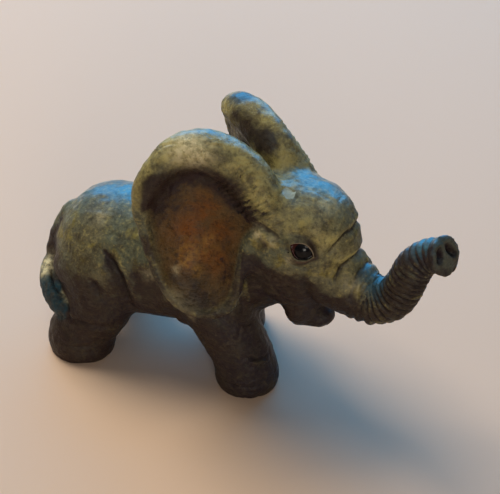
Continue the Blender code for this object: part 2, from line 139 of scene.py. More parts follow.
# The body. Each row is x, y, z, half width, half height of a profile on the form's path
bodyForm = {
    "torso": (
        (-59.4, 0.0, 26.9, 16.5, 16.2),
        (-51.0, 0.0, 27.7, 17.4, 17.5),
        (-40.0, 0.0, 29.6, 18.5, 19.0),
        (-25.0, 0.0, 30.8, 18.8, 19.5),
        (-10.0, 0.0, 32.7, 17.6, 18.3),
        (3.0, -0.5, 36.6, 14.2, 15.0),
        (14.0, -1.5, 43.0, 12.0, 12.0),
    ),
    "legs": (
        (
            (-7.0, -7.0, 38.0, 8.5, 11.0),
            (-6.3, -9.8, 32.0, 9.0, 11.2),
            (-4.7, -10.8, 27.0, 9.2, 10.7),
            (0.2, -11.2, 17.5, 8.8, 9.5),
            (4.0, -11.2, 9.8, 8.7, 9.1),
            (5.2, -11.0, 4.2, 9.2, 9.5),
            (5.4, -11.0, 1.4, 9.2, 9.5),
            (5.4, -11.0, -1.0, 8.2, 8.5),
        ),
        (
            (-9.0, 7.0, 38.0, 8.5, 11.0),
            (-9.2, 9.6, 32.0, 9.0, 11.6),
            (-9.0, 10.8, 26.0, 9.2, 10.8),
            (-8.4, 11.4, 15.5, 8.7, 9.2),
            (-7.6, 11.4, 8.8, 8.6, 8.9),
            (-7.4, 11.2, 4.2, 9.0, 9.2),
            (-7.4, 11.2, 1.4, 9.0, 9.2),
            (-7.4, 11.2, -1.0, 8.0, 8.2),
        ),
        (
            (-46.0, -6.5, 36.0, 9.5, 13.0),
            (-43.6, -9.6, 30.0, 10.0, 13.6),
            (-41.5, -10.8, 25.0, 9.8, 12.4),
            (-40.8, -12.8, 16.4, 8.9, 10.0),
            (-44.6, -14.0, 9.2, 8.9, 9.5),
            (-46.8, -14.8, 4.6, 9.7, 10.2),
            (-47.0, -15.0, 1.6, 9.8, 10.4),
            (-47.0, -15.0, -1.0, 8.9, 9.5),
        ),
        (
            (-47.0, 6.5, 36.0, 9.5, 13.0),
            (-45.6, 9.4, 30.0, 10.0, 13.6),
            (-44.0, 10.2, 25.0, 9.6, 12.4),
            (-45.0, 11.4, 16.0, 8.8, 10.0),
            (-49.4, 11.6, 9.0, 9.0, 9.4),
            (-51.4, 11.4, 4.4, 9.6, 9.8),
            (-51.8, 11.4, 1.5, 9.6, 9.8),
            (-51.8, 11.4, -1.0, 8.6, 8.8),
        ),
    ),
    "tail": (
        (-50.5, 0.0, 39.6, 3.2, 3.2),
        (-56.2, 0.0, 37.4, 3.1, 3.1),
        (-59.2, -0.6, 32.4, 2.7, 2.7),
        (-60.2, -2.6, 27.2, 2.4, 2.4),
        (-60.0, -6.0, 22.8, 2.4, 2.4),
    ),
    "tuft": (
        (-60.4, -5.4, 23.6, 2.3, 2.3),
        (-59.2, -9.8, 20.6, 2.9, 3.0),
        (-56.9, -13.4, 18.0, 3.2, 3.4),
        (-53.4, -16.2, 15.8, 3.1, 3.4),
        (-50.4, -18.0, 14.0, 2.5, 2.8),
        (-48.8, -18.8, 12.8, 1.0, 1.0),
    ),
    "elbow": (-12.6, -13.0, 20.0, 3.4, 2.8, 2.6),  # x, y, z and the three half sizes
}


# Torso, legs, tail and tuft: each a profile carried along its own path
def bodyForms():
    forms = [tube(bodyForm["torso"], 60, 48, roundStart=17.0, roundEnd=6.0)]
    forms += [tube(leg, 44, 36, roundStart=9.0) for leg in bodyForm["legs"]]
    forms.append(roundMass(*bodyForm["elbow"]))
    forms.append(tube(bodyForm["tail"], 40, 16, roundStart=2.0, roundEnd=2.0))
    forms.append(tube(bodyForm["tuft"], 30, 18, roundStart=2.0, roundEnd=2.5))
    return forms


# The head, looking along +X before it is turned. Masses are x, y, z and three half sizes
headForm = {
    "skull": (16.0, 0.0, 51.0, 18.6, 15.6, 17.8),
    "forehead": (20.5, 0.0, 56.0, 14.2, 12.6, 12.6),
    "brow": (27.6, 0.0, 52.4, 8.4, 8.8, 8.2),
    "neck": (7.2, -0.5, 42.0, 13.5, 13.0, 12.4),
    "chin": (20.6, 0.0, 30.5, 5.4, 9.6, 9.3),
    "cheek": (17.8, -5.0, 42.0, 11.2, 8.2, 11.4),
    "jaw": (
        (19.6, 0.0, 29.0, 6.4, 6.4),
        (22.0, 0.0, 26.2, 6.0, 5.2),
        (25.6, 0.0, 25.4, 4.8, 3.8),
        (29.6, 0.0, 26.2, 3.4, 2.4),
    ),
    "trunk": (
        (18.0, 0.0, 46.0, 12.0, 12.5),
        (28.0, 0.0, 42.4, 10.4, 10.6),
        (35.5, 0.0, 38.8, 8.4, 8.5),
        (41.3, 0.0, 37.0, 6.9, 6.9),
        (46.2, 0.0, 39.0, 6.2, 6.1),
        (49.3, 0.0, 43.8, 5.6, 5.6),
        (51.3, 0.0, 49.4, 5.3, 5.3),
        (53.5, 0.0, 54.7, 4.9, 5.0),
        (56.6, 0.0, 58.1, 4.4, 4.6),
        (59.2, -0.3, 59.5, 4.5, 4.7),
        (60.9, -0.7, 60.1, 5.7, 5.8),
        (62.1, -1.0, 60.6, 5.9, 5.9),
    ),
}
earForm = {
    "rim": (
        (15.8, -9.8, 59.6, 4.6, 4.6),
        (11.8, -8.4, 63.8, 5.8, 5.8),
        (8.0, -7.9, 68.6, 6.1, 6.1),
        (3.9, -8.3, 72.4, 6.1, 6.1),
        (-1.0, -9.8, 75.6, 6.0, 6.0),
        (-6.4, -11.9, 77.0, 5.7, 5.7),
        (-11.5, -14.9, 75.7, 4.9, 4.9),
        (-14.9, -19.8, 71.9, 4.0, 4.0),
        (-17.2, -22.5, 66.6, 3.2, 3.2),
        (-17.6, -23.8, 60.8, 2.4, 2.4),
        (-15.8, -24.8, 53.6, 1.9, 1.9),
        (-12.2, -25.6, 44.2, 1.7, 1.7),
        (-8.2, -25.2, 36.8, 1.7, 1.7),
        (-3.2, -24.4, 33.2, 1.7, 1.7),
        (2.2, -22.8, 32.6, 1.7, 1.7),
        (6.4, -19.6, 34.4, 1.7, 1.7),
        (7.8, -16.8, 40.0, 1.7, 1.7),
        (8.6, -15.0, 48.0, 1.7, 1.7),
        (10.4, -13.4, 54.6, 2.2, 2.2),
    ),
    "hollow": (-3.0, -11.4, 58.0),  # the deepest point of the dish
    "root": (12.0, -9.0, 62.0),
    "thickness": 3.1,
    "sizes": (1.02, 0.955),  # the right and the left ear differ a little
    "dishPower": 1.7,
}


# Ear dish: hollow + (rim - hollow) s in x and z, and s^1.7 in depth, with a skin on each side
def earDish():
    around, inward = 64, 14
    edge = resampled(earForm["rim"] + (earForm["rim"][0],), around + 1)[:-1]
    edgePoint = edge[:, :3] + np.array([0.0, 0.45, 0.0]) * np.maximum(edge[:, 3:4] - 2.0, 0)
    deep = np.array(earForm["hollow"])
    share = np.linspace(0, 1, inward)[:, None, None]
    flat = deep + (edgePoint - deep) * share
    depth = deep[1] + (edgePoint[:, 1] - deep[1]) * share[..., 0] ** earForm["dishPower"]
    middle = np.dstack([flat[..., 0], depth, flat[..., 2]])
    offset = np.array([0.0, 0.5 * earForm["thickness"], 0.0])
    outer, inner = (middle - offset).reshape(-1, 3), (middle + offset).reshape(-1, 3)
    index, quads = gridFaces(inward, around)
    count, last = index.size, index[-1]
    wall = np.stack([last, np.roll(last, -1), np.roll(last, -1) + count, last + count], axis=-1)
    faces = quads.tolist() + (quads[:, ::-1] + count).tolist() + wall.tolist()
    return np.vstack([outer, inner]), faces


# Scaled about the ear's root: root + (p - root) share
def sized(form, share):
    points, faces = form
    root = np.array(earForm["root"])
    return root + (points - root) * share, faces


# Skull, jaw and trunk, then each ear's rim and dish at its own size, all turned with the head
def headForms():
    forms = [
        roundMass(*headForm[name]) for name in ("skull", "forehead", "brow", "neck", "chin", "cheek")
    ]
    forms.append(mirrored(roundMass(*headForm["cheek"])))
    forms.append(tube(headForm["jaw"], 30, 28, roundEnd=3.4))
    forms.append(tube(headForm["trunk"], 120, 40, roundStart=8.0, roundEnd=0.7))
    rim = tube(earForm["rim"] + (earForm["rim"][0],), 130, 20)
    for form in (rim, earDish()):
        right, left = earForm["sizes"]
        forms += [sized(form, right), mirrored(sized(form, left))]
    return [(turned(points), faces) for points, faces in forms]


# Fusing and easing
skinForm = {
    "grain": 0.8,  # spacing of the fused skin's points
    "fillRounds": 44,  # passes that fill the joins like modelled clay
    "easeRounds": 50,
    "softenRounds": 3,
    # where joins are eased further: x, y, z and reach
    "headEased": ((17.6, -13.0, 42.0, 9.0), (17.6, 13.0, 42.0, 9.0)),
    "bodyEased": (
        (-44.0, -16.0, 38.0, 9.0),
        (-45.0, 16.0, 38.0, 9.0),
        (-60.0, 0.0, 36.0, 7.0),
        (-5.0, 15.0, 36.0, 8.0),
    ),
}


# One mesh that holds every overlapping form
def joined(forms):
    points, faces, start = [], [], 0
    for formPoints, formFaces in forms:
        points.append(formPoints)
        faces += [[start + corner for corner in face] for face in formFaces]
        start += len(formPoints)
    mesh = bpy.data.meshes.new("forms")
    mesh.from_pydata((np.vstack(points) * mm).tolist(), [], faces)
    mesh.validate()
    work = bmesh.new()
    work.from_mesh(mesh)
    bmesh.ops.recalc_face_normals(work, faces=work.faces)
    work.to_mesh(mesh)
    work.free()
    return mesh


# The mesh that one modifier makes of another, with the modifier's settings given by name
def modified(mesh, kind, **settings):
    holder = bpy.data.objects.new("skin", mesh)
    bpy.context.scene.collection.objects.link(holder)
    modifier = holder.modifiers.new(kind.title(), kind)
    for name, value in settings.items():
        setattr(modifier, name, value)
    graph = bpy.context.evaluated_depsgraph_get()
    made = bpy.data.meshes.new_from_object(
        holder.evaluated_get(graph), preserve_all_data_layers=True, depsgraph=graph
    )
    bpy.data.objects.remove(holder)
    return made


# A mesh's points, one row of x, y, z each
def pointsOf(mesh):
    flat = np.empty(len(mesh.vertices) * 3, np.float32)
    mesh.vertices.foreach_get("co", flat)
    return flat.reshape(-1, 3).astype(float)


# Moved points put back into their mesh
def putPoints(mesh, points):
    mesh.vertices.foreach_set("co", points.astype(np.float32).ravel())
    mesh.update()


# The skin's outward direction at each point
def normalsOf(mesh):
    flat = np.empty(len(mesh.vertices) * 3, np.float32)
    mesh.vertex_normals.foreach_get("vector", flat)
    return flat.reshape(-1, 3).astype(float)


# Edges as pairs of point numbers
def edgesOf(mesh):
    edges = np.empty(len(mesh.edges) * 2, np.int32)
    mesh.edges.foreach_get("vertices", edges)
    return edges.reshape(-1, 2)


# Average of each point's neighbours along the skin's edges
def neighbourMean(points, edges):
    total = np.zeros_like(points)
    for a, b in ((0, 1), (1, 0)):
        for axis in range(points.shape[1]):
            total[:, axis] += np.bincount(edges[:, a], points[edges[:, b], axis], len(points))
    return total / np.bincount(edges.ravel(), minlength=len(points))[:, None]


# Each pass moves a point towards its neighbours' mean as far as that lies outside the skin,
# so inward joins fill; then the named spots, and last the whole skin, are smoothed
def fillJoins(mesh):
    edges = edgesOf(mesh)
    for _ in range(skinForm["fillRounds"]):
        points = pointsOf(mesh)
        pull = neighbourMean(points, edges) - points
        inward = np.einsum("ij,ij->i", pull, normalsOf(mesh))
        share = np.clip(inward / (0.06 * skinForm["grain"] * mm), 0, 1)
        putPoints(mesh, points + 0.6 * share[:, None] * pull)
    points = pointsOf(mesh)
    headSpots = np.array(skinForm["headEased"])
    headSpots[:, :3] = turned(headSpots[:, :3])
    share = np.zeros(len(points))
    for x, y, z, reach in np.vstack([headSpots, skinForm["bodyEased"]]) * mm:
        gone = 1.4 * np.linalg.norm(points - (x, y, z), axis=1) / reach
        share = np.maximum(share, np.clip(1.4 - gone, 0, 1))
    for _ in range(skinForm["easeRounds"]):
        points = points + 0.5 * share[:, None] * (neighbourMean(points, edges) - points)
    for _ in range(skinForm["softenRounds"]):
        for step in (0.5, -0.52):
            points = points + step * (neighbourMean(points, edges) - points)
    putPoints(mesh, points)


# Finer quads where small carving goes: the eyes and the trunk's tip
fineSpots = {
    "eye": ((25.0, -12.1, 55.2), 5.6, 2),  # middle, reach and cuts along each edge
    "otherEye": ((25.0, 12.1, 55.2), 5.6, 2),
    "tip": ((62.0, -1.0, 60.6), 7.0, 1),
}


# More points near the fine spots, where the smallest carving lies
def refined(mesh):
    work = bmesh.new()
    work.from_mesh(mesh)
    for middle, reach, cuts in fineSpots.values():
        spot = turned(np.array(middle)) * mm
        flat = np.array([vert.co[:] for vert in work.verts])
        close = np.linalg.norm(flat - spot, axis=1) < reach * mm
        work.verts.ensure_lookup_table()
        edges = [
            edge for edge in work.edges if close[edge.verts[0].index] and close[edge.verts[1].index]
        ]
        bmesh.ops.subdivide_edges(work, edges=edges, cuts=cuts, use_grid_fill=True)
        work.verts.index_update()
    work.to_mesh(mesh)
    work.free()
    points, edges = pointsOf(mesh), edgesOf(mesh)
    near = np.zeros(len(points))
    for middle, reach, cuts in fineSpots.values():
        gap = np.linalg.norm(points - turned(np.array(middle)) * mm, axis=1) / mm
        near = np.maximum(near, towards(gap, reach + 1, reach - 1))
    for _ in range(6):
        points = points + 0.5 * near[:, None] * (neighbourMean(points, edges) - points)
    putPoints(mesh, points)


# Relief

# Soft noise: random values on a lattice, blended between its corners by 3 t2 - 2 t3
def softNoise(points, size, seed):
    side = 48
    table = np.random.default_rng(seed).random((side, side, side))
    place = points / size + 1000.0
    whole = np.floor(place).astype(int)
    t = place - whole
    t = t * t * (3 - 2 * t)
    value = np.zeros(len(points))
    for corner in np.ndindex(2, 2, 2):
        cell = (whole + corner) % side
        weight = np.prod(np.where(np.array(corner) == 1, t, 1 - t), axis=1)
        value += weight * table[cell[:, 0], cell[:, 1], cell[:, 2]]
    return value


# Creased noise: 1 where the soft noise crosses its middle, falling to 0 beside it
def creaseNoise(points, size, seed, width=0.08):
    return np.exp(-(((softNoise(points, size, seed) - 0.5) / width) ** 2))


# Groove: depth exp(-(gap / 0.6 width)^2), less a low swell on both sides, along a smooth path
# laid on the skin; it fades out at its open ends
def pressed(mesh, path, width, depth, closed=False, swell=0.25):
    points, normals = pointsOf(mesh), normalsOf(mesh)
    path = resampled([tuple(row) + (0, 0) for row in path], 60)[:, :3] * mm
    low, high = path.min(axis=0) - 0.006, path.max(axis=0) + 0.006
    around = np.nonzero(((points > low) & (points < high)).all(axis=1))[0]
    gaps = np.linalg.norm(points[around, None] - path[None], axis=2)
    nearest = around[gaps.argmin(axis=0)]
    above = np.einsum("ij,ij->i", path - points[nearest], normals[nearest])
    path = path - normals[nearest] * above[:, None]
    near = around[gaps.min(axis=1) < (abs(width) * 4 + 3) * mm]
    gaps = np.linalg.norm(points[near, None] - path[None], axis=2)
    share = gaps.argmin(axis=1) / (len(path) - 1)
    fade = np.ones(len(near))
    if not closed:
        fade = np.sqrt(np.clip(np.sin(math.pi * np.clip(share, 0.04, 0.96)) * 1.6, 0, 1))
    gap = gaps.min(axis=1) / (width * mm)
    shape = np.exp(-((gap / 0.6) ** 2)) - swell * np.exp(-(((gap - 1.5) / 0.6) ** 2))
    points[near] -= normals[near] * (depth * mm * fade * shape)[:, None]
    putPoints(mesh, points)


# Each fold is its width, its depth and the points it runs through, on the right side;
# head folds that start at the middle run across to the left, the others are mirrored
foldCuts = {
    "head": (
        (1.3, 0.75, (
            (34.6, 0.0, 58.6), (33.7, -3.4, 58.6), (32.5, -6.6, 57.0), (31.3, -8.4, 55.1),
            (30.2, -10.0, 53.3),
        )),
        (1.3, 0.7, (
            (35.2, 0.0, 50.9), (34.6, -2.6, 50.6), (34.0, -4.9, 49.7), (33.7, -6.4, 48.2),
            (33.0, -7.8, 46.0),
        )),
        (1.2, 0.6, (
            (38.3, 0.0, 47.3), (37.9, -2.2, 47.1), (37.9, -4.8, 45.5), (37.9, -6.4, 43.6),
            (37.4, -7.4, 41.0),
        )),
        (1.8, 0.7, ((26.4, -12.2, 46.2), (26.0, -11.3, 42.6), (26.5, -9.2, 37.1), (28.2, -6.8, 31.6))),
        (1.3, 0.6, (
            (20.1, -13.5, 59.8), (22.6, -12.6, 60.1), (25.6, -11.4, 59.7), (27.8, -10.9, 57.7),
            (28.9, -11.0, 54.8), (28.4, -11.7, 52.4),
        )),
        (0.7, 0.3, ((21.0, -13.6, 53.6), (23.0, -13.6, 51.6), (25.6, -13.0, 50.6), (27.9, -11.8, 51.2))),
        (0.6, 0.3, ((19.4, -11.2, 63.0), (18.6, -12.4, 62.4), (17.5, -13.1, 61.9))),
        (1.3, 0.5, ((11.0, -14.0, 61.4), (13.5, -14.4, 60.6), (17.0, -14.2, 59.6), (20.2, -13.8, 58.2))),
        (1.5, -0.45, (
            (12.0, -14.5, 58.4), (13.6, -14.5, 58.7), (16.7, -14.6, 57.0), (19.8, -14.6, 55.5),
            (22.2, -14.3, 53.4),
        )),
    ),
    "ears": (
        (0.5, 0.22, ((-2.7, -14.2, 81.3), (-1.1, -13.3, 81.2), (0.4, -12.2, 81.0))),
        (0.5, 0.22, ((-15.2, -18.9, 77.7), (-13.5, -17.4, 79.3), (-11.1, -16.8, 80.3))),
    ),
    "body": (
        (2.4, 2.0, (
            (-36.2, -16.2, 38.7), (-33.3, -17.8, 35.3), (-30.9, -18.7, 31.2), (-29.7, -18.6, 26.7),
            (-29.3, -17.2, 22.0),
        )),
        (1.8, 0.8, ((-39.6, -19.5, 30.0), (-38.0, -19.9, 27.4), (-36.8, -20.1, 24.6))),
        (0.9, 0.28, (
            (7.6, -18.7, 14.9), (10.0, -17.0, 14.0), (11.2, -15.8, 13.4), (12.6, -13.6, 13.0),
            (13.2, -11.5, 13.3),
        )),
        (0.8, -0.3, ((8.6, -18.3, 13.3), (10.6, -16.8, 12.6), (11.9, -15.4, 12.1), (13.2, -13.2, 11.7))),
        (0.7, 0.22, (
            (-1.2, -17.7, 6.4), (0.9, -19.2, 5.0), (5.2, -20.2, 4.8), (8.9, -19.6, 4.8),
            (12.6, -16.9, 5.0), (14.5, -13.2, 5.3),
        )),
        (0.6, 0.16, ((0.9, -19.2, 2.7), (5.2, -20.2, 2.5), (8.9, -19.6, 2.5), (12.6, -16.9, 2.7))),
        (1.3, 0.45, (
            (-54.5, -17.0, 11.5), (-50.0, -20.5, 13.5), (-45.0, -22.0, 15.0), (-40.0, -21.9, 14.6),
            (-36.0, -20.3, 14.2), (-33.2, -18.1, 14.4),
        )),
        (1.3, 1.25, (
            (-57.6, -10.6, 23.6), (-56.2, -12.8, 22.2), (-52.9, -16.3, 20.4), (-49.6, -18.7, 18.2),
            (-47.4, -20.0, 15.0),
        )),
        (0.8, 0.3, ((-48.4, -23.4, 6.6), (-44.3, -23.9, 6.4), (-40.4, -21.9, 6.8))),
        (1.6, 1.35, (
            (-41.2, 16.2, 38.7), (-38.3, 17.8, 35.3), (-35.9, 18.7, 31.2), (-34.7, 18.6, 26.7),
            (-34.3, 17.2, 22.0),
        )),
        (0.9, 0.5, ((-9.8, 20.0, 12.6), (-7.5, 19.5, 13.7), (-4.2, 17.8, 14.3), (-1.4, 14.0, 14.5))),
    ),
    "nostrils": (
        (1.25, 2.4, ((60.8, -2.9, 62.8), (61.1, -3.7, 60.6))),
        (1.3, 2.4, ((61.5, 0.2, 62.6), (62.9, 1.7, 59.8))),
    ),
}


# The folds pressed into the skin; those from the head's middle run across it in one stroke
def carveFolds(mesh):
    flip = np.array([1.0, -1.0, 1.0])
    for width, depth, path in foldCuts["head"] + foldCuts["ears"]:
        path = np.array(path)
        if path[0, 1] == 0.0:
            pressed(mesh, turned(np.vstack([(path * flip)[:0:-1], path])), width, depth)
        else:
            pressed(mesh, turned(path), width, depth)
            pressed(mesh, turned(path * flip), width, depth)
    for width, depth, path in foldCuts["body"]:
        pressed(mesh, path, width, depth)
    for width, depth, path in foldCuts["nostrils"]:
        pressed(mesh, turned(np.array(path)), width, depth, swell=0.12)


trunkSkin = {
    "ringPitch": 1.9,
    "firstRing": 20.0,  # distance along the trunk's path
    "ringDepth": 0.46,
    "fineDepth": 0.10,  # finer wrinkles between the rings
    "underBump": 0.32,  # low pads between the rings, on the underside
    "wander": 0.22,  # how far a ring strays, in pitches
}


# Where a point is on the trunk: distance along the path, how far under it lies (-1 on top to
# 1 below), and whether it belongs to the trunk at all
def trunkPlace(points):
    path = resampled(headForm["trunk"], 260)
    centre = path[:, :3]
    along, side, rise = pathFrame(centre)
    walked = lengthsAlong(centre)
    place = turned(points, -headYaw) / mm
    at, under, on = np.zeros(len(points)), np.zeros(len(points)), np.zeros(len(points))
    near = np.nonzero(place[:, 0] > 30)[0]
    gaps = np.linalg.norm(place[near, None] - centre[None], axis=2)
    nearest = gaps.argmin(axis=1)
    offset = place[near] - centre[nearest]
    shift = np.einsum("ij,ij->i", offset, along[nearest])
    at[near] = walked[nearest] + np.clip(shift, -1, 1)
    under[near] = -np.einsum("ij,ij->i", offset, rise[nearest]) / path[nearest, 3]
    on[near] = gaps.min(axis=1) < 1.35 * path[nearest, 3]
    return at, np.clip(under, -1, 1), on, walked[-1]


# Rings: depth |cos(pi d / pitch)|^4 at distance d, which strays a little round the trunk
def carveTrunk(mesh):
    points, normals = pointsOf(mesh), normalsOf(mesh)
    at, under, on, whole = trunkPlace(points)
    starting = np.clip((at - trunkSkin["firstRing"]) / 4, 0, 1)
    ends = starting * np.clip(whole - 3.2 - at, 0, 1) * on
    stray = (softNoise(points, 4.5 * mm, 11) - 0.5) * 2 * trunkSkin["wander"]
    phase = at / trunkSkin["ringPitch"] + stray
    vary = 0.6 + 0.8 * softNoise(points, 3.0 * mm, 12)
    rings = np.abs(np.cos(math.pi * phase)) ** 4
    fine = np.abs(np.cos(math.pi * (2 * phase + 0.5 + stray))) ** 6
    pads = np.sin(math.pi * phase) ** 2 * towards(under, 0.2, 0.9)
    push = trunkSkin["ringDepth"] * rings * vary + trunkSkin["fineDepth"] * fine * vary
    push = (push - trunkSkin["underBump"] * pads * (0.5 + softNoise(points, 2.2 * mm, 13))) * ends
    putPoints(mesh, points - normals * (push * mm)[:, None])


rollSkin = {
    "pitch": 2.1,
    "height": 0.27,
    "wander": 0.95,
    "span": (0.0, 24.0),  # distances along the rim where the wrinkles start and end
}


# Wrinkles across the underside of each ear's roll: height sin(2 pi s / pitch + wander) at
# distance s along the rim
def carveRolls(mesh):
    points, normals = pointsOf(mesh), normalsOf(mesh)
    rim = resampled(earForm["rim"], 200)
    walked = lengthsAlong(rim[:, :3])
    start, end = rollSkin["span"]
    root = np.array(earForm["root"])
    for side, share in zip((1.0, -1.0), earForm["sizes"]):
        local = root + (turned(points, -headYaw) / mm * np.array([1.0, side, 1.0]) - root) / share
        near = np.nonzero((local[:, 1] < -5) & (local[:, 2] > 55))[0]
        offset = local[near, None] - rim[None, :, :3]
        gaps = np.linalg.norm(offset, axis=2)
        nearest = gaps.argmin(axis=1)
        away = offset[np.arange(len(near)), nearest] / gaps.min(axis=1)[:, None]
        inward = np.array(earForm["hollow"]) - rim[nearest, :3]
        inward[:, 1] = 0
        inward /= np.linalg.norm(inward, axis=1)[:, None]
        under = 0.3 * np.einsum("ij,ij->i", away, inward) - 0.95 * away[:, 1]
        at = walked[nearest]
        band = towards(under, 0.05, 0.7) * towards(at, start, start + 1) * towards(at, end, end - 8)
        band *= gaps.min(axis=1) < 1.4 * rim[nearest, 3]
        stray = rollSkin["wander"] * (softNoise(points[near], 3.4 * mm, 41) - 0.5)
        vary = 0.2 + 1.5 * softNoise(points[near], 2.4 * mm, 42)
        rise = rollSkin["height"] * np.sin(2 * math.pi * (at / rollSkin["pitch"] + stray)) * band * vary
        points[near] += normals[near] * (rise * mm)[:, None]
    putPoints(mesh, points)


eyeForm = {
    "middle": (25.0, -12.1, 55.2),
    "out": (0.45, -0.85, 0.25),
    "forward": (0.817, 0.336, -0.467),  # from the back corner to the front one
    "corners": (-3.7, 3.15),
    "line": 0.4,  # height of the corners over the middle
    "upper": 1.95,
    "lower": 2.75,
    "ball": (0.34, 0.3),
    "ballCurve": 3.6,  # radius of the ball's surface
    "ballLift": 0.1,
    "setBack": 0.75,  # depth of the corners under the skin
    "upperLid": 0.42,
    "lowerLid": 0.3,
}


# Eye coordinates of points in the head's own frame: forward, up and out of the eye's plane,
# and how far inside the lids' opening, whose edges are line + height sin(pi s)^0.75
def eyePlace(place, side):
    out = np.array(eyeForm["out"])
    out /= np.linalg.norm(out)
    forward = np.array(eyeForm["forward"])
    forward = forward - out * (forward @ out)
    forward /= np.linalg.norm(forward)
    up = np.cross(out, forward)
    offset = place * np.array([1.0, side, 1.0]) - np.array(eyeForm["middle"])
    a, u, h = offset @ forward, offset @ up, offset @ out
    back, front = eyeForm["corners"]
    arch = np.sin(math.pi * np.clip((a - back) / (front - back), 0, 1)) ** 0.75
    top = eyeForm["line"] + eyeForm["upper"] * arch
    low = eyeForm["line"] - eyeForm["lower"] * arch
    inside = np.minimum(top - u, u - low) - np.maximum(0, np.maximum(back - a, a - front))
    return a, u, h, inside, out


# The eye: inside the lids the skin becomes a ball's cap, lift - r2 / (2 radius) over the skin
# at its middle, and never deeper than the corners; outside, each lid is a low rounded ridge
def carveEyes(mesh):
    points = pointsOf(mesh)
    for side in (1.0, -1.0):
        place = turned(points, -headYaw) / mm
        a, u, h, inside, out = eyePlace(place, side)
        near = np.nonzero((np.hypot(a, u) < 7.5) & (np.abs(h) < 5))[0]
        a, u, h, inside = a[near], u[near], h[near], inside[near]
        fit = np.hypot(a, u) < 5.5
        terms = np.stack([np.ones_like(a), a, u, a * a, a * u, u * u], axis=1)
        skin = terms @ np.linalg.lstsq(terms[fit], h[fit], rcond=None)[0]
        x, y = eyeForm["ball"]
        reach2 = (a - x) ** 2 + (u - y) ** 2
        middle = skin[np.argmin(reach2)]
        ball = middle + eyeForm["ballLift"] - reach2 / (2 * eyeForm["ballCurve"])
        ball = np.maximum(ball, skin - eyeForm["setBack"])
        share = towards(inside, -0.1, 0.16)
        lid = np.where(u > eyeForm["line"], eyeForm["upperLid"], eyeForm["lowerLid"])
        lid = lid * np.exp(-(((inside + 0.45) / 0.42) ** 2))
        target = np.where(share > 0, share * ball + (1 - share) * (h + lid), h + lid)
        move = (target - h) * towards(np.hypot(a, u), 7.0, 5.6)
        direction = turned(out * np.array([1.0, side, 1.0]))
        points[near] += direction * (move * mm)[:, None]
    putPoints(mesh, points)


skinMarks = {
    # size, height and seed of the modelled unevenness
    "lumps": ((9.0, 0.30, 21), (4.2, 0.26, 22), (2.3, 0.28, 28)),
    "tooled": (1.3, 0.20, 23),
    "wrinkles": ((3.4, 0.12, 24), (2.1, 0.09, 25)),  # size, depth, seed
    "chip": ((17.2, -5.8, 67.9), (2.3, 1.5, 1.4), 0.22),  # middle, half sizes, depth
}


# Hand-modelled skin: soft lumps, fine tooled grain and crossing wrinkles, deeper where the
# limbs and ears bend; the lids and the tip's rim stay clean
def carveSkin(mesh):
    points, normals = pointsOf(mesh), normalsOf(mesh)
    place = turned(points, -headYaw) / mm
    calm = np.ones(len(points))
    for side in (1.0, -1.0):
        a, u, h, inside, out = eyePlace(place, side)
        calm *= 1 - (np.abs(h) < 6) * towards(np.hypot(a, u), 5.5, 4.0)
    rise = np.zeros(len(points))
    for size, height, seed in skinMarks["lumps"]:
        rise += height * (softNoise(points, size * mm, seed) - 0.5)
    size, height, seed = skinMarks["tooled"]
    rise += height * (softNoise(points, size * mm, seed) - 0.5)
    stretch = points * np.array([1.0, 1.0, 0.55])
    lean = np.array([[0.8, 0.0, -0.6], [0.0, 1.0, 0.0], [0.6, 0.0, 0.8]])
    slant = points @ lean * np.array([0.5, 1.0, 1.0])
    where = towards(softNoise(points, 11 * mm, 26), 0.35, 0.65)
    for (size, depth, seed), field in zip(skinMarks["wrinkles"], (stretch, slant)):
        rise -= depth * creaseNoise(field, size * mm, seed) * (0.25 + 0.75 * where)
    chipAt, chipSize, chipDepth = skinMarks["chip"]
    ragged = 0.5 * (softNoise(points, 0.9 * mm, 27) - 0.5)
    gap = np.linalg.norm((place - chipAt) / chipSize, axis=1) + ragged
    rise = rise * calm - chipDepth * towards(gap, 1.05, 0.9)
    putPoints(mesh, points + normals * (rise * mm)[:, None])


# Flat soles: the skin is cut at the floor and the holes are filled
def soled(mesh):
    work = bmesh.new()
    work.from_mesh(mesh)
    everything = work.verts[:] + work.edges[:] + work.faces[:]
    cut = bmesh.ops.bisect_plane(
        work, geom=everything, plane_co=(0, 0, 0), plane_no=(0, 0, 1), clear_inner=True
    )
    rims = [item for item in cut["geom_cut"] if isinstance(item, bmesh.types.BMEdge)]
    bmesh.ops.holes_fill(work, edges=rims)
    bmesh.ops.triangulate(work, faces=[face for face in work.faces if len(face.verts) > 4])
    work.to_mesh(mesh)
    work.free()


# Paint masks, one value per point

# Where a point is on an ear's dish: its share of the way from the hollow to the rim, the angle
# round the hollow, how far it lies outside the dish's middle surface, and the rim's thickness
# and distance at that angle
def earPlace(place, side, share):
    root, hollow = np.array(earForm["root"]), np.array(earForm["hollow"])
    local = root + (place * np.array([1.0, side, 1.0]) - root) / share
    rim = resampled(earForm["rim"] + (earForm["rim"][0],), 200)[:-1]
    across, rise = rim[:, 0] - hollow[0], rim[:, 2] - hollow[2]
    rimTurn = np.degrees(np.arctan2(rise, across)) % 360
    order = np.argsort(rimTurn)
    turn = np.degrees(np.arctan2(local[:, 2] - hollow[2], local[:, 0] - hollow[0])) % 360
    reach, rimDepth, thick = (
        np.interp(turn, rimTurn[order], values[order], period=360)
        for values in (np.hypot(across, rise), rim[:, 1], rim[:, 3])
    )
    out = np.hypot(local[:, 0] - hollow[0], local[:, 2] - hollow[2]) / reach
    middle = hollow[1] + (rimDepth - hollow[1]) * np.minimum(out, 1) ** earForm["dishPower"]
    return out, turn, middle - local[:, 1], thick, reach


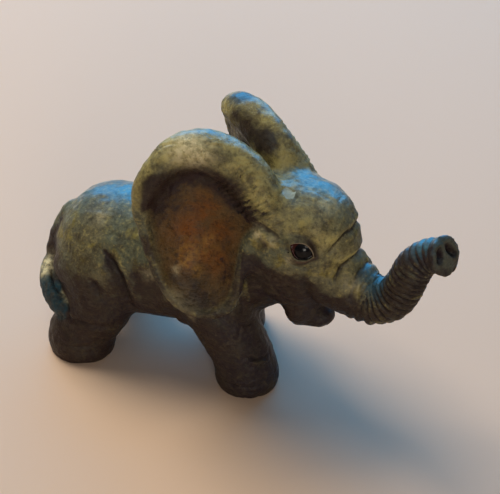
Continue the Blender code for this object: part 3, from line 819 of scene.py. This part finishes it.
def dab(place, spot, reach):  # soft round spot of paint: exp(-(distance / reach)^2)
    return np.exp(-((np.linalg.norm(place - np.array(spot), axis=1) / reach) ** 2))


# The strongest of several dabs, each its middle, its reach and its strength
def dabbed(spots, place):
    return np.maximum.reduce([strength * dab(place, spot, reach) for spot, reach, strength in spots])


# Spots are x, y, z, then the reach and the strength; "head" ones are in the head's own frame
paintPlan = {
    "paleHead": (
        ((-7.5, -15.5, 80.0), 4.2, 1.0),
        ((-3.6, -15.6, 79.6), 3.0, 0.7),
        ((-10.8, -17.4, 78.6), 2.6, 0.6),
        ((12.8, -14.5, 58.6), 1.8, 0.7),
        ((17.0, -14.6, 57.0), 1.6, 0.5),
        ((22.6, -14.3, 53.0), 1.3, 0.5),
        ((-8.4, -22.6, 43.1), 1.4, 0.5),
        ((-3.0, -25.6, 34.4), 3.0, 0.15),
        ((-7.0, -26.2, 37.0), 3.0, 0.15),
        ((38.0, -6.0, 44.6), 2.2, 0.5),
        ((28.0, -3.0, 66.6), 3.0, 0.3),
    ),
    "paleBody": (
        ((-39.9, -9.2, 45.1), 2.2, 0.4),
        ((-21.9, -17.9, 35.8), 1.6, 0.4),
        ((-59.9, -10.2, 23.6), 2.5, 1.1),
        ((-59.4, -12.6, 22.0), 1.6, 0.8),
        ((-51.6, -15.9, 18.8), 0.9, 0.6),
        ((-49.6, -17.1, 17.9), 0.9, 0.6),
        ((-8.6, -19.1, 26.2), 1.6, 0.3),
    ),
    # painted shade in dark brown on the far ear, the near ear's rear and foot, the cheek and the trunk
    "shadeHead": (
        ((-2.0, 4.5, 76.0), 5.5, 1.0),
        ((4.0, 3.5, 75.0), 4.8, 1.0),
        ((-6.5, 6.6, 78.2), 4.0, 0.75),
        ((12.0, 7.5, 72.5), 5.0, 0.38),
        ((-8.0, 12.0, 82.0), 6.0, 0.75),
        ((-16.0, -22.0, 66.0), 7.0, 0.55),
        ((-12.0, -20.0, 64.0), 6.0, 0.8),
        ((-2.0, -25.0, 34.0), 7.5, 0.62),
        ((8.0, -16.0, 42.0), 6.0, 0.5),
        ((39.0, -5.6, 36.4), 5.0, 0.9),
        ((44.0, -4.8, 36.6), 4.5, 0.8),
        ((13.0, -13.5, 62.0), 3.5, 0.45),
        ((15.0, -14.5, 53.0), 4.0, 0.35),
    ),
    # and painted shade in the flank's fold, on the ribs and the thighs and in the strip below the tail's
    # root
    "shadeBody": (
        ((-34.0, -17.0, 35.5), 4.0, 0.8),
        ((-31.0, -18.0, 30.0), 5.5, 0.95),
        ((-29.0, -17.5, 25.0), 6.0, 1.0),
        ((-38.0, -19.5, 27.0), 4.0, 0.8),
        ((-22.0, -18.0, 31.0), 9.0, 0.9),
        ((-14.0, -16.0, 34.0), 10.0, 0.85),
        ((-2.0, -14.0, 26.0), 9.0, 1.0),
        ((-48.0, -17.0, 27.0), 6.0, 0.6),
        ((-24.0, 17.0, 31.0), 10.0, 0.7),
        ((-41.0, -20.0, 22.0), 9.0, 1.0),
        ((-57.0, -3.5, 36.5), 3.4, 0.65),
        ((-58.2, -5.0, 32.5), 3.6, 0.85),
        ((-58.6, -6.5, 29.0), 3.4, 0.9),
        ((-58.0, -8.0, 26.5), 3.0, 0.9),
    ),
    # painted reflection of the blue sky light, grey blue over the highest parts
    "skySheenHead": (
        ((18.0, 2.0, 70.0), 9.0, 0.9),
        ((26.0, 1.0, 67.0), 8.0, 0.9),
        ((41.0, -0.5, 43.5), 4.5, 1.4),
        ((36.0, 0.0, 48.0), 4.0, 0.6),
        ((56.0, 0.0, 63.0), 5.0, 1.0),
        ((-8.0, 13.0, 82.0), 5.0, 0.4),
        ((-6.0, -12.0, 83.0), 5.0, 0.5),
    ),
    "skySheenBody": (
        ((-48.0, 2.0, 46.0), 9.0, 0.8),
        ((-36.0, 3.0, 49.0), 9.0, 1.0),
        ((-22.0, 3.0, 51.0), 9.0, 1.0),
        ((-62.0, -12.0, 20.0), 4.0, 0.8),
    ),
    # painted light: yellowish pools of light painted on the brow
    "paintedLightHead": (
        ((30.5, -8.5, 60.0), 6.5, 0.95),
        ((23.5, -10.4, 62.4), 5.5, 0.5),
        ((34.2, -5.0, 50.5), 4.5, 0.6),
        ((26.0, -5.0, 65.0), 7.5, 0.75),
    ),
    # the ears' dishes, the same on both sides
    "rust": (
        ((-4.4, -13.3, 59.1), 5.5, 0.9),
        ((0.5, -13.5, 54.3), 5.0, 0.9),
        ((-7.5, -16.4, 53.2), 6.0, 1.0),
        ((0.3, -16.2, 45.6), 5.0, 0.8),
        ((-4.3, -16.5, 47.6), 5.5, 1.0),
        ((-7.0, -20.1, 44.7), 3.5, 0.9),
    ),
    "gold": (
        ((-7.0, -20.1, 44.7), 3.4, 1.0),
        ((-6.0, -18.6, 47.4), 3.6, 0.8),
        ((-4.3, -19.4, 42.5), 2.0, 0.9),
        ((-2.0, -15.0, 50.0), 2.4, 0.6),
    ),
    # x and z of the edge below which the face's olive goes to painted shade in dark brown, its fade, the
    # x between which it runs and the height it stays above
    "faceEdge": (
        (8.0, 14.2, 18.7, 22.8, 26.5, 29.4, 33.9, 37.9),
        (52.5, 49.9, 48.8, 48.2, 47.2, 45.0, 41.6, 39.4),
    ),
    "faceFade": (2.6, -3.4),
    "faceSpan": (9, 43),
    "faceFoot": 18,
    "unevenness": (6.0, 31),  # size and seed of the noise that breaks the masks' edges
    "fineUnevenness": (2.2, 32),
    "creasePasses": (4, 26),  # passes that find fine creases and broad hollows
    "creaseDepth": (0.03, 0.22),
    "ridgeHeight": (0.015, 0.12),
    "hollowDepth": (0.03, 0.30),
    # angles round the ear's hollow between which a part of it fades in and out again
    "rollTurns": ((-8, 20), (178, 150)),
    "dishShadeTurns": ((8, 40), (186, 160)),
    "lowRimTurns": ((176, 200), (345, 320)),
    "rollCrease": 0.75,  # how far creases are cleaned on the rolls
    "legFade": (40, 23),  # heights where the legs' painted shade starts and is full
    "bellyFade": (40, 30),
    "trunkFade": ((14, 20), (26, 31)),  # distances along the trunk
    # how much of the dark paint and painted shade each place gets
    "darkShares": {
        "legs": 0.9,
        "belly": 1.0,
        "belowFace": 0.95,
        "rollShade": 1.0,
        "shade": 1.0,
        "rising": 0.72,
        "earBack": 0.5,
        "lowRim": 0.6,
    },
    # painted shade in the broad hollows
    "hollowShade": 0.5,
    "goldBare": 0.65,  # how far gold keeps the dark paint and painted shade off
    "tuftStart": (-12.0, -14.5),  # y where the tail's tuft takes its own colour
    "tuftFade": (1.35, 1.1),  # shares of the tuft's radius
    "topFade": ((0.45, 0.92), (20, 34)),  # steepness and height of the parts with thick varnish
    "skySheenFade": (0.35, 0.85),
}


# Product of several fades of one value
def between(value, fades):
    return np.prod([towards(value, start, end) for start, end in fades], axis=0)


# Creases, ridges and broad hollows: how far the mean of a point's neighbours lies outside the
# skin, after few passes and after many. The lids count as smooth
def creaseMasks(points, normals, edges, place):
    hollows, smooth = [], points
    for passes in paintPlan["creasePasses"]:
        for _ in range(passes):
            smooth = neighbourMean(smooth, edges)
        hollows.append(np.einsum("ij,ij->i", smooth - points, normals) / mm)
    crease = towards(hollows[0], *paintPlan["creaseDepth"])
    ridge = towards(-hollows[0], *paintPlan["ridgeHeight"])
    hollow = towards(hollows[1], *paintPlan["hollowDepth"])
    for side in (1.0, -1.0):
        a, u, h, inside, out = eyePlace(place, side)
        ridge = ridge * (1 - (np.abs(h) < 5) * towards(np.hypot(a, u), 5.6, 4.4))
    return crease, ridge, hollow


# The ears: the dish's bowl, the roll over its top, painted shade where the roll turns down into
# the dish and on the ear's back, the thin lower rim and what is left of the creases
def earMasks(place, facing, uneven):
    names = ("bowl", "roll", "rollShade", "earBack", "lowRim")
    masks = {name: np.zeros(len(place)) for name in names}
    creaseKept = np.ones(len(place))
    for side, share in zip((1.0, -1.0), earForm["sizes"]):
        out, turn, proud, thick, reach = earPlace(place, side, share)
        outward = -facing[:, 1] * side
        sideways = place[:, 1] * -side
        edge = 1 - thick / reach
        onEar = (proud > -0.8) & (out < 1.5) & (sideways > 5)
        onRoll = (out > edge - 0.10) * (out < 1 + 1.3 * thick / reach) * (np.abs(proud) < 9)
        onRoll = onRoll * between(turn, paintPlan["rollTurns"])
        inBowl = onEar * towards(out, edge + 0.06, edge - 0.06) * towards(outward, -0.2, 0.3)
        fall = (out - edge) * reach / thick + 0.9 * uneven
        # painted shade on the roll's underside, and on the dish's top under the roll
        fallen = onRoll * towards(fall, 1.55, 0.35) * towards(outward, -0.35, 0.25)
        shaded = inBowl * between(turn, paintPlan["dishShadeTurns"])
        shaded = shaded * towards(out + 0.12 * uneven, edge - 0.42, edge - 0.05)
        behind = (proud < 0.2) & (proud > -7) & (out < 1.05) & (place[:, 0] < 10) & (sideways > 6)
        rim = onEar * towards(out, edge - 0.02, edge + 0.04) * (out < 1.12)
        found = {
            "bowl": inBowl,
            "roll": onRoll,
            "rollShade": np.maximum(fallen, 0.9 * shaded),
            "earBack": behind * towards(outward, 0.1, -0.3),
            "lowRim": rim * between(turn, paintPlan["lowRimTurns"]),
        }
        for name in names:
            masks[name] = np.maximum(masks[name], found[name])
        creaseKept *= 1 - paintPlan["rollCrease"] * onRoll
    return masks, creaseKept


# Where the dark brown goes: painted shade on the legs, fuller towards the floor, on the downward-facing
# belly, below the face's edge, on the ears' shaded parts, at the named spots and in the broad hollows,
# and dark paint on the rising trunk
def darkMask(place, body, up, uneven, fineUneven, ears, trunkAt, onTrunk, hollow):
    bare = 1 - ears["bowl"]
    xs, zs = paintPlan["faceEdge"]
    start, end = paintPlan["faceSpan"]
    overEdge = place[:, 2] - np.interp(place[:, 0], xs, zs) + 4.5 * uneven + 2.5 * fineUneven
    onFace = (place[:, 0] > start) * (place[:, 0] < end) * (place[:, 2] > paintPlan["faceFoot"])
    # the chest is left out of the legs
    legs = towards(body[:, 2] + 9 * uneven, *paintPlan["legFade"]) * bare
    legs *= 1 - towards(body[:, 0], 14, 18) * towards(body[:, 2], 16, 20)
    darks = {
        "legs": legs,
        "belly": towards(up, -0.05, -0.5) * towards(body[:, 2], *paintPlan["bellyFade"]),
        "belowFace": towards(overEdge, *paintPlan["faceFade"]) * onFace * bare,
        "shade": np.maximum(dabbed(paintPlan["shadeHead"], place), dabbed(paintPlan["shadeBody"], body)),
        "rising": onTrunk * between(trunkAt, paintPlan["trunkFade"]),
        **ears,
    }
    shares = paintPlan["darkShares"]
    dark = np.maximum.reduce([share * darks[name] for name, share in shares.items()])
    return np.clip(dark + paintPlan["hollowShade"] * hollow, 0, 1)


# The tail's tuft, from how near a point lies to the tuft's path
def tuftMask(body):
    path = resampled(bodyForm["tuft"], 40)
    onTail = (body[:, 0] < -44) & (body[:, 2] < 30) & (body[:, 2] > 8) & (body[:, 1] < 0)
    near = np.nonzero(onTail)[0]
    gap = np.linalg.norm(body[near, None] - path[None, :, :3], axis=2) / path[None, :, 3]
    tuft = np.zeros(len(body))
    tuft[near] = towards(gap.min(axis=1), *paintPlan["tuftFade"])
    tuft[near] *= towards(body[near, 1], *paintPlan["tuftStart"])
    return tuft


# Values for each point, mostly 0 to 1, that the paint is mixed from, and the eyes' own
# coordinates: forward, up and how far inside the lids
def paintMasks(mesh):
    points, normals = pointsOf(mesh), normalsOf(mesh)
    body, place = points / mm, turned(points, -headYaw) / mm
    up = normals[:, 2]
    uneven, fineUneven = (
        softNoise(points, size * mm, seed) - 0.5
        for size, seed in (paintPlan["unevenness"], paintPlan["fineUnevenness"])
    )
    crease, ridge, hollow = creaseMasks(points, normals, edgesOf(mesh), place)
    ears, creaseKept = earMasks(place, turned(normals, -headYaw), uneven)
    trunkAt, under, onTrunk, whole = trunkPlace(points)
    dark = darkMask(place, body, up, uneven, fineUneven, ears, trunkAt, onTrunk, hollow)
    rightSide = place.copy()
    rightSide[:, 1] = -np.abs(place[:, 1])
    rust, gold = (dabbed(paintPlan[name], rightSide) * ears["bowl"] for name in ("rust", "gold"))
    pale = sum(
        strength * dab(where, spot, reach)
        for name, where in (("paleHead", place), ("paleBody", body))
        for spot, reach, strength in paintPlan[name]
    )
    skySheen = np.maximum(dabbed(paintPlan["skySheenHead"], place), dabbed(paintPlan["skySheenBody"], body))
    # painted light on the brow
    light = dabbed(paintPlan["paintedLightHead"], place)
    chipAt, chipSize, chipDepth = skinMarks["chip"]
    slits = [
        (np.array(path[0]) * (1 - k) + np.array(path[1]) * k, width, 1.0)
        for width, depth, path in foldCuts["nostrils"]
        for k in np.linspace(0, 1, 7)
    ]
    steep, high = paintPlan["topFade"]
    onTop = towards(up, *steep) * towards(body[:, 2], *high)
    masks = {
        "crease": crease * creaseKept,
        "ridge": ridge,
        "bowl": ears["bowl"],
        # the rolls' own paint outside their painted shade, with the painted light on the brow
        "roll": np.maximum(ears["roll"] * (1 - ears["rollShade"]), light),
        "umberAndShade": dark * (1 - paintPlan["goldBare"] * gold),
        "pale": np.clip(pale, 0, 1),
        "rust": rust,
        "gold": gold,
        "tuft": tuftMask(body),
        "chip": np.clip(1.6 - np.linalg.norm((place - chipAt) / chipSize, axis=1), 0, 1),
        "tip": onTrunk * towards(trunkAt, whole - 0.8, whole - 0.1),
        "slit": dabbed(slits, place),
        "top": onTop * (1 - ears["bowl"]) * (1 - ears["lowRim"]),
        # painted sky reflection, on the upward-facing parts
        "skySheen": skySheen * towards(up + 0.5 * uneven, *paintPlan["skySheenFade"]),
    }
    eyeSpace = np.full((len(points), 3), -9.0)
    for side in (1.0, -1.0):
        a, u, h, inside, out = eyePlace(place, side)
        near = (np.hypot(a, u) < 8) & (np.abs(h) < 5)
        eyeSpace[near] = np.stack([a, u, inside], axis=1)[near]
    for name, values in masks.items():
        layer = mesh.attributes.new(name, "FLOAT", "POINT")
        layer.data.foreach_set("value", values.astype(np.float32))
    layer = mesh.attributes.new("eyeSpace", "FLOAT_VECTOR", "POINT")
    layer.data.foreach_set("vector", eyeSpace.astype(np.float32).ravel())


# Stretched by less than one part in a hundred to fill the solid's own box exactly
def fitted(mesh):
    low, high = (np.array(corner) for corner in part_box("elephant"))
    points = pointsOf(mesh)
    share = (points - points.min(axis=0)) / np.ptp(points, axis=0)
    print("stretch", np.round((high - low) / np.ptp(points, axis=0), 4).tolist())
    putPoints(mesh, low + share * (high - low))


# Paint: thin layers over the bare resin, painted shade, highlights, light and sky reflection among them,
# from the ground colour to the gloss on the eye
paint = {
    "ground": (0.140, 0.126, 0.070),
    "greyGreen": (0.118, 0.125, 0.078),
    "olive": (0.235, 0.190, 0.042),
    "straw": (0.44, 0.370, 0.135),
    "cream": (0.70, 0.61, 0.36),
    "rust": (0.185, 0.060, 0.009),
    "gold": (0.40, 0.21, 0.045),
    "bowl": (0.110, 0.062, 0.020),
    # dark brown, for dark paint and for painted shade
    "umberAndShade": (0.0235, 0.0115, 0.0110),
    "plum": (0.0195, 0.0105, 0.0160),
    "dryUmber": (0.047, 0.034, 0.031),
    "cloud": (0.045, 0.034, 0.022),
    # near black, for the pits and for painted shade in the creases
    "darkPitsAndCreaseShade": (0.009, 0.006, 0.006),
    "tuft": (0.016, 0.042, 0.056),
    # grey blue of the painted sky reflection
    "skySheen": (0.055, 0.170, 0.230),
    "chip": (0.34, 0.42, 0.39),
    "tip": (0.092, 0.104, 0.078),
    "black": (0.003, 0.003, 0.004),
    "corner": (0.050, 0.012, 0.009),
    "lidLine": (0.22, 0.17, 0.125),
    "lowerLid": (0.115, 0.070, 0.045),
    "roughness": (0.36, 0.58),
    "creaseRoughness": 0.12,
    "topRoughness": -0.06,
    "eyeRoughness": -0.36,
    "leastRoughness": 0.05,
    "specular": 0.18,
    "varnish": (0.02, 0.85),  # coat weight below and on the top
    "varnishRoughness": 0.28,
    "varnishIor": 1.75,
    "bumpStrength": 0.65,
    "bumpDistance": 0.0009,
    # how a noise breaks up each rubbed layer: where it starts and ends, least and most
    "broken": {
        "roll": (0.32, 0.58, 0.25, 0.95),
        "rust": (0.35, 0.55, 0.35, 1.0),
        "gold": (0.42, 0.6, 0.2, 0.9),
        "skySheen": (0.35, 0.6, 0.45, 1.0),
        "pale": (0.36, 0.60, 0.25, 1.0),
    },
    "ballEdge": (2.62, 2.35),  # the black ball's radius in the eye
}


class NodeDesk:  # a material's nodes, made and linked in the order they are asked for
    def __init__(self, name):
        self.material = bpy.data.materials.new(name)
        self.material.use_nodes = True
        self.tree = self.material.node_tree
        self.shader = self.tree.nodes["Principled BSDF"]
        self.place = self.tree.nodes.new("ShaderNodeTexCoord").outputs["Object"]

    def feed(self, socket, value):
        if isinstance(value, bpy.types.NodeSocket):
            self.tree.links.new(value, socket)
        elif isinstance(value, tuple) and socket.type == "RGBA":
            socket.default_value = (*value, 1.0)
        else:
            socket.default_value = value

    def noise(self, scale, detail=3.0, roughness=0.55, place=None, distortion=0.0):
        node = self.tree.nodes.new("ShaderNodeTexNoise")
        self.feed(node.inputs["Vector"], place or self.place)
        settings = {"Scale": scale, "Detail": detail, "Roughness": roughness, "Distortion": distortion}
        for name, value in settings.items():
            node.inputs[name].default_value = value
        return node.outputs["Fac"]

    def pinHoles(self, scale):  # distance to the nearest of many scattered points
        node = self.tree.nodes.new("ShaderNodeTexVoronoi")
        self.feed(node.inputs["Vector"], self.place)
        node.inputs["Scale"].default_value = scale
        return node.outputs["Distance"]

    def stretched(self, scale):
        node = self.tree.nodes.new("ShaderNodeMapping")
        self.feed(node.inputs["Vector"], self.place)
        node.inputs["Scale"].default_value = scale
        return node.outputs["Vector"]

    def mask(self, name, output="Fac"):
        node = self.tree.nodes.new("ShaderNodeAttribute")
        node.attribute_name = name
        return node.outputs[output]

    def math(self, operation, first, second=0.0):
        node = self.tree.nodes.new("ShaderNodeMath")
        node.operation = operation
        self.feed(node.inputs[0], first)
        self.feed(node.inputs[1], second)
        return node.outputs[0]

    def times(self, first, *others):
        for other in others:
            first = self.math("MULTIPLY", first, other)
        return first

    def plus(self, first, *others):
        for other in others:
            first = self.math("ADD", first, other)
        return first

    def rest(self, value):  # what a share leaves of 1
        return self.math("SUBTRACT", 1.0, value)

    def swing(self, noise, amount):  # a noise about its middle: (noise - 0.5) amount
        return self.times(self.math("SUBTRACT", noise, 0.5), amount)

    def ramp(self, value, start, end, low=0.0, high=1.0):  # smooth step between two values
        node = self.tree.nodes.new("ShaderNodeMapRange")
        node.interpolation_type = "SMOOTHSTEP"
        for k, item in enumerate((value, start, end, low, high)):
            self.feed(node.inputs[k], item)
        return node.outputs[0]

    def mix(self, amount, first, second):
        node = self.tree.nodes.new("ShaderNodeMix")
        node.data_type = "RGBA"
        self.feed(node.inputs["Factor"], amount)
        self.feed(node.inputs[6], first)
        self.feed(node.inputs[7], second)
        return node.outputs[2]

    # a layer of paint where its mask is, broken up by a noise
    def rubbed(self, color, name, noise, layer):
        share = self.times(self.mask(name), self.ramp(noise, *paint["broken"][name]))
        return self.mix(share, color, paint[layer])

    def bump(self, height, strength, distance):
        node = self.tree.nodes.new("ShaderNodeBump")
        self.feed(node.inputs["Height"], height)
        node.inputs["Strength"].default_value = strength
        node.inputs["Distance"].default_value = distance
        return node.outputs["Normal"]


# The eye over the skin's colour, from its own coordinates: a shaded socket, a pale line on
# the upper lid, a warm lower lid, red corners and the black ball. Also gives how far the
# point is between the lids
def paintedEye(desk, color):
    eye = desk.tree.nodes.new("ShaderNodeSeparateXYZ")
    desk.feed(eye.inputs[0], desk.mask("eyeSpace", "Vector"))
    forward, up, inside = eye.outputs
    ballX, ballY = eyeForm["ball"]
    dx, dy = desk.math("SUBTRACT", forward, ballX), desk.math("SUBTRACT", up, ballY)
    reach = desk.math("SQRT", desk.plus(desk.times(dx, dx), desk.times(dy, dy)))
    opened = desk.ramp(inside, -0.04, 0.06)
    upper = desk.ramp(up, 0.2, 0.9)
    socket = desk.times(
        desk.ramp(inside, -3.0, -1.3),
        desk.ramp(inside, -0.25, -0.55),
        desk.ramp(forward, -2.6, 1.2, 0.35, 0.85),
    )
    color = desk.mix(socket, color, paint["umberAndShade"])
    line = desk.times(desk.ramp(inside, -0.52, -0.36), desk.ramp(inside, -0.02, -0.12), upper, 0.75)
    color = desk.mix(line, color, paint["lidLine"])
    lower = desk.times(
        desk.ramp(inside, -1.5, -0.75),
        desk.rest(upper),
        desk.ramp(inside, -0.1, -0.5),
        desk.ramp(forward, -1.6, 0.4, 0, 0.6),
    )
    color = desk.mix(lower, color, paint["lowerLid"])
    color = desk.mix(opened, color, paint["corner"])
    ball = desk.times(opened, desk.ramp(reach, *paint["ballEdge"]))
    return desk.mix(ball, color, paint["black"]), opened


# The painted resin: mottled olive ground, dark paint and painted shade in the creases and below, rust in
# the ears, pale wear and painted highlights on what stands out, painted light and sky reflection on top,
# and a wet black eye
def paintedResin():
    desk = NodeDesk("painted_resin")
    blotch = desk.noise(62, 3.0, 0.5)
    mottle = desk.noise(170, 4.0, 0.6, distortion=0.4)
    clouds = desk.noise(230, 5.0, 0.65, distortion=0.2)
    dashes = desk.noise(300, 3.0, 0.6, place=desk.stretched((1.0, 1.0, 3.2)))
    speckle = desk.noise(620, 3.0, 0.6)
    stipple = desk.noise(1150, 3.0, 0.65)
    grain = desk.noise(2300, 2.0, 0.6)
    umberAndShade, crease, top, bowl = (desk.mask(name) for name in ("umberAndShade", "crease", "top", "bowl"))

    color = desk.mix(desk.ramp(blotch, 0.40, 0.62), paint["ground"], paint["greyGreen"])
    color = desk.mix(desk.ramp(mottle, 0.50, 0.66, 0, 0.85), color, paint["olive"])
    # straw on the rolls, and as painted light on the brow
    color = desk.rubbed(color, "roll", mottle, "straw")
    color = desk.mix(desk.times(bowl, 0.9), color, paint["bowl"])
    color = desk.rubbed(color, "rust", mottle, "rust")
    color = desk.rubbed(color, "gold", speckle, "gold")
    # painted highlight on the ridges, laid as light dry-brushed paint in dashes
    ridges = desk.times(desk.ramp(desk.mask("ridge"), 0.25, 0.9, 0, 0.75), desk.ramp(dashes, 0.40, 0.58))
    color = desk.mix(ridges, color, paint["straw"])
    # dark paint and painted shade, with a broken edge
    dark = desk.mix(desk.ramp(blotch, 0.42, 0.6), paint["umberAndShade"], paint["plum"])
    dry = desk.times(desk.ramp(mottle, 0.46, 0.64, 0, 0.6), desk.ramp(speckle, 0.42, 0.62))
    dark = desk.mix(dry, dark, paint["dryUmber"])
    edge = desk.plus(umberAndShade, desk.swing(mottle, 1.1), desk.swing(speckle, 0.8))
    color = desk.mix(desk.ramp(edge, 0.14, 0.80, 0, 0.96), color, dark)
    color = desk.mix(desk.mask("tuft"), color, paint["tuft"])
    color = desk.mix(desk.times(desk.mask("tip"), 0.8), color, paint["tip"])
    # dark paint left in soft clouds, and painted shade in the creases
    color = desk.mix(desk.ramp(clouds, 0.42, 0.74, 0, 0.8), color, paint["cloud"])
    color = desk.mix(desk.ramp(crease, 0.0, 1.0, 0, 0.75), color, paint["darkPitsAndCreaseShade"])
    # painted reflection of the blue sky light on the tops
    color = desk.rubbed(color, "skySheen", mottle, "skySheen")
    # fine grain: dark paint left in the pits, light paint rubbed on the tops
    fineGrain = desk.plus(desk.times(speckle, 0.45), desk.times(stipple, 0.55))
    color = desk.mix(desk.ramp(fineGrain, 0.50, 0.34, 0, 0.50), color, paint["darkPitsAndCreaseShade"])
    tops = desk.times(desk.ramp(fineGrain, 0.50, 0.66, 0, 0.42), desk.ramp(umberAndShade, 0.75, 0.2, 0.12, 1.0))
    color = desk.mix(desk.times(tops, desk.rest(bowl)), color, paint["straw"])
    # worn paint, the chip, pin holes and the nostrils
    color = desk.rubbed(color, "pale", speckle, "cream")
    chip = desk.plus(desk.mask("chip"), desk.swing(speckle, 1.7))
    color = desk.mix(desk.ramp(chip, 0.52, 0.66), color, paint["chip"])
    pits = desk.times(desk.ramp(desk.pinHoles(260), 0.075, 0.04), desk.ramp(blotch, 0.46, 0.56))
    color = desk.mix(pits, color, paint["darkPitsAndCreaseShade"])
    color = desk.mix(desk.ramp(desk.mask("slit"), 0.35, 0.75), color, paint["black"])
    color, opened = paintedEye(desk, color)

    rough = desk.plus(
        desk.ramp(speckle, 0.3, 0.7, *paint["roughness"]),
        desk.times(crease, paint["creaseRoughness"]),
        desk.times(top, paint["topRoughness"]),
        desk.times(opened, paint["eyeRoughness"]),
    )
    height = desk.plus(desk.times(speckle, 0.7), desk.times(grain, 0.25), desk.times(dashes, 0.6))
    height = desk.times(desk.math("SUBTRACT", height, desk.times(pits, 0.8)), desk.rest(opened))
    sockets = desk.shader.inputs
    desk.feed(sockets["Base Color"], color)
    desk.feed(sockets["Roughness"], desk.math("MAXIMUM", rough, paint["leastRoughness"]))
    desk.feed(sockets["Coat Weight"], desk.ramp(top, 0.0, 1.0, *paint["varnish"]))
    desk.feed(sockets["Normal"], desk.bump(height, paint["bumpStrength"], paint["bumpDistance"]))
    sockets["Specular IOR Level"].default_value = paint["specular"]
    sockets["Coat Roughness"].default_value = paint["varnishRoughness"]
    sockets["Coat IOR"].default_value = paint["varnishIor"]
    return desk.material


# The whole figure: forms fused and eased, carved, soled, painted and fitted to the solid's box
def makeElephant():
    forms = joined(bodyForms() + headForms())
    skin = modified(forms, "REMESH", mode="VOXEL", voxel_size=skinForm["grain"] * mm)
    fillJoins(skin)
    print("fused skin", len(skin.vertices), "points")
    skin = modified(skin, "SUBSURF", levels=1, render_levels=1)
    refined(skin)
    carveFolds(skin)
    carveTrunk(skin)
    carveRolls(skin)
    carveSkin(skin)
    carveEyes(skin)
    print("carved skin", len(skin.vertices), "points")
    soled(skin)
    paintMasks(skin)
    triangles = sum(len(face.vertices) - 2 for face in skin.polygons)
    skin = modified(skin, "DECIMATE", ratio=min(1.0, trisKept / triangles))
    fitted(skin)
    skin.name = "elephant_skin"
    elephant = bpy.data.objects.new("elephant_skin", skin)
    bpy.context.scene.collection.objects.link(elephant)
    elephant.data.materials.clear()
    elephant.data.materials.append(paintedResin())
    elephant.data.shade_smooth()
    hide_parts("elephant")
    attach(elephant, "root")
    print("painted skin", len(skin.polygons), "triangles")


# Studio: a pale floor, a warm key from behind on the left, a cool sky light behind and a
# soft fill from the front. A light without gleam isn't mirrored in the varnish
studio = {
    "floor": (0.70, 0.50, 0.36),
    "floorHalf": 12.0,
    "floorRoughness": 0.6,
    "world": ((0.95, 0.93, 0.92), 0.12),
    "aim": (0.0, 0.0, 0.04),
    "lights": {
        "key": {
            "at": (-0.66, 0.36, 1.00),
            "size": (0.7, 0.7),
            "power": 14.5,
            "color": (1.0, 0.95, 0.84),
            "spread": 180,
            "gleam": False,
        },
        "sky": {
            "at": (-0.22, 0.90, 0.58),
            "size": (1.4, 0.85),
            "power": 8.2,
            "color": (0.02, 0.40, 0.90),
            "spread": 150,
            "gleam": True,
        },
        "fill": {
            "at": (0.50, -0.95, 0.34),
            "size": (0.36, 0.32),
            "power": 3.4,
            "color": (1.0, 0.93, 0.84),
            "spread": 180,
            "gleam": True,
        },
    },
}


# Area light turned to face the studio's aim
def addLight(name, at, size, power, color, spread, gleam):
    light = bpy.data.lights.new(name, "AREA")
    light.shape = "RECTANGLE"
    light.size, light.size_y = size
    light.energy, light.color = power, color
    light.spread = math.radians(spread)
    holder = bpy.data.objects.new(name, light)
    holder.location = at
    x, y, z = np.array(studio["aim"]) - np.array(at)
    holder.rotation_euler = (math.atan2(math.hypot(x, y), -z), 0, math.atan2(y, x) - math.pi / 2)
    holder.visible_glossy = gleam
    bpy.context.scene.collection.objects.link(holder)


# A floor, the lights and a dim world
def makeStudio():
    half = studio["floorHalf"]
    mesh = bpy.data.meshes.new("floor")
    corners = [(-half, -half, 0), (half, -half, 0), (half, half, 0), (-half, half, 0)]
    mesh.from_pydata(corners, [], [(0, 1, 2, 3)])
    floor = bpy.data.objects.new("floor", mesh)
    bpy.context.scene.collection.objects.link(floor)
    desk = NodeDesk("pale_floor")
    desk.shader.inputs["Base Color"].default_value = (*studio["floor"], 1.0)
    desk.shader.inputs["Roughness"].default_value = studio["floorRoughness"]
    mesh.materials.append(desk.material)
    for name, form in studio["lights"].items():
        addLight(name, **form)
    world = bpy.data.worlds.new("studio")
    bpy.context.scene.world = world
    world.use_nodes = True
    background = world.node_tree.nodes["Background"]
    color, strength = studio["world"]
    background.inputs["Color"].default_value = (*color, 1.0)
    background.inputs["Strength"].default_value = strength


# Camera: target + distance (sin az cos el, -cos az cos el, sin el)
view = {
    "target": (0.001481, -0.000988, 0.040),
    "azimuth": 22.0,
    "elevation": 37.0,
    "distance": 0.42,
    "lens": 105.84,
}


# The camera on that line, turned back to the target
def makeCamera():
    azimuth, elevation = math.radians(view["azimuth"]), math.radians(view["elevation"])
    flat, rise = math.cos(elevation), math.sin(elevation)
    back = np.array([math.sin(azimuth) * flat, -math.cos(azimuth) * flat, rise])
    data = bpy.data.cameras.new("camera")
    data.lens = view["lens"]
    data.sensor_width = 36
    data.clip_start, data.clip_end = 0.01, 10
    camera = bpy.data.objects.new("camera", data)
    camera.location = np.array(view["target"]) + back * view["distance"]
    camera.rotation_euler = (math.pi / 2 - elevation, 0, azimuth)
    bpy.context.scene.collection.objects.link(camera)
    bpy.context.scene.camera = camera


makeElephant()
makeStudio()
makeCamera()
bpy.context.scene.view_settings.view_transform = "Standard"
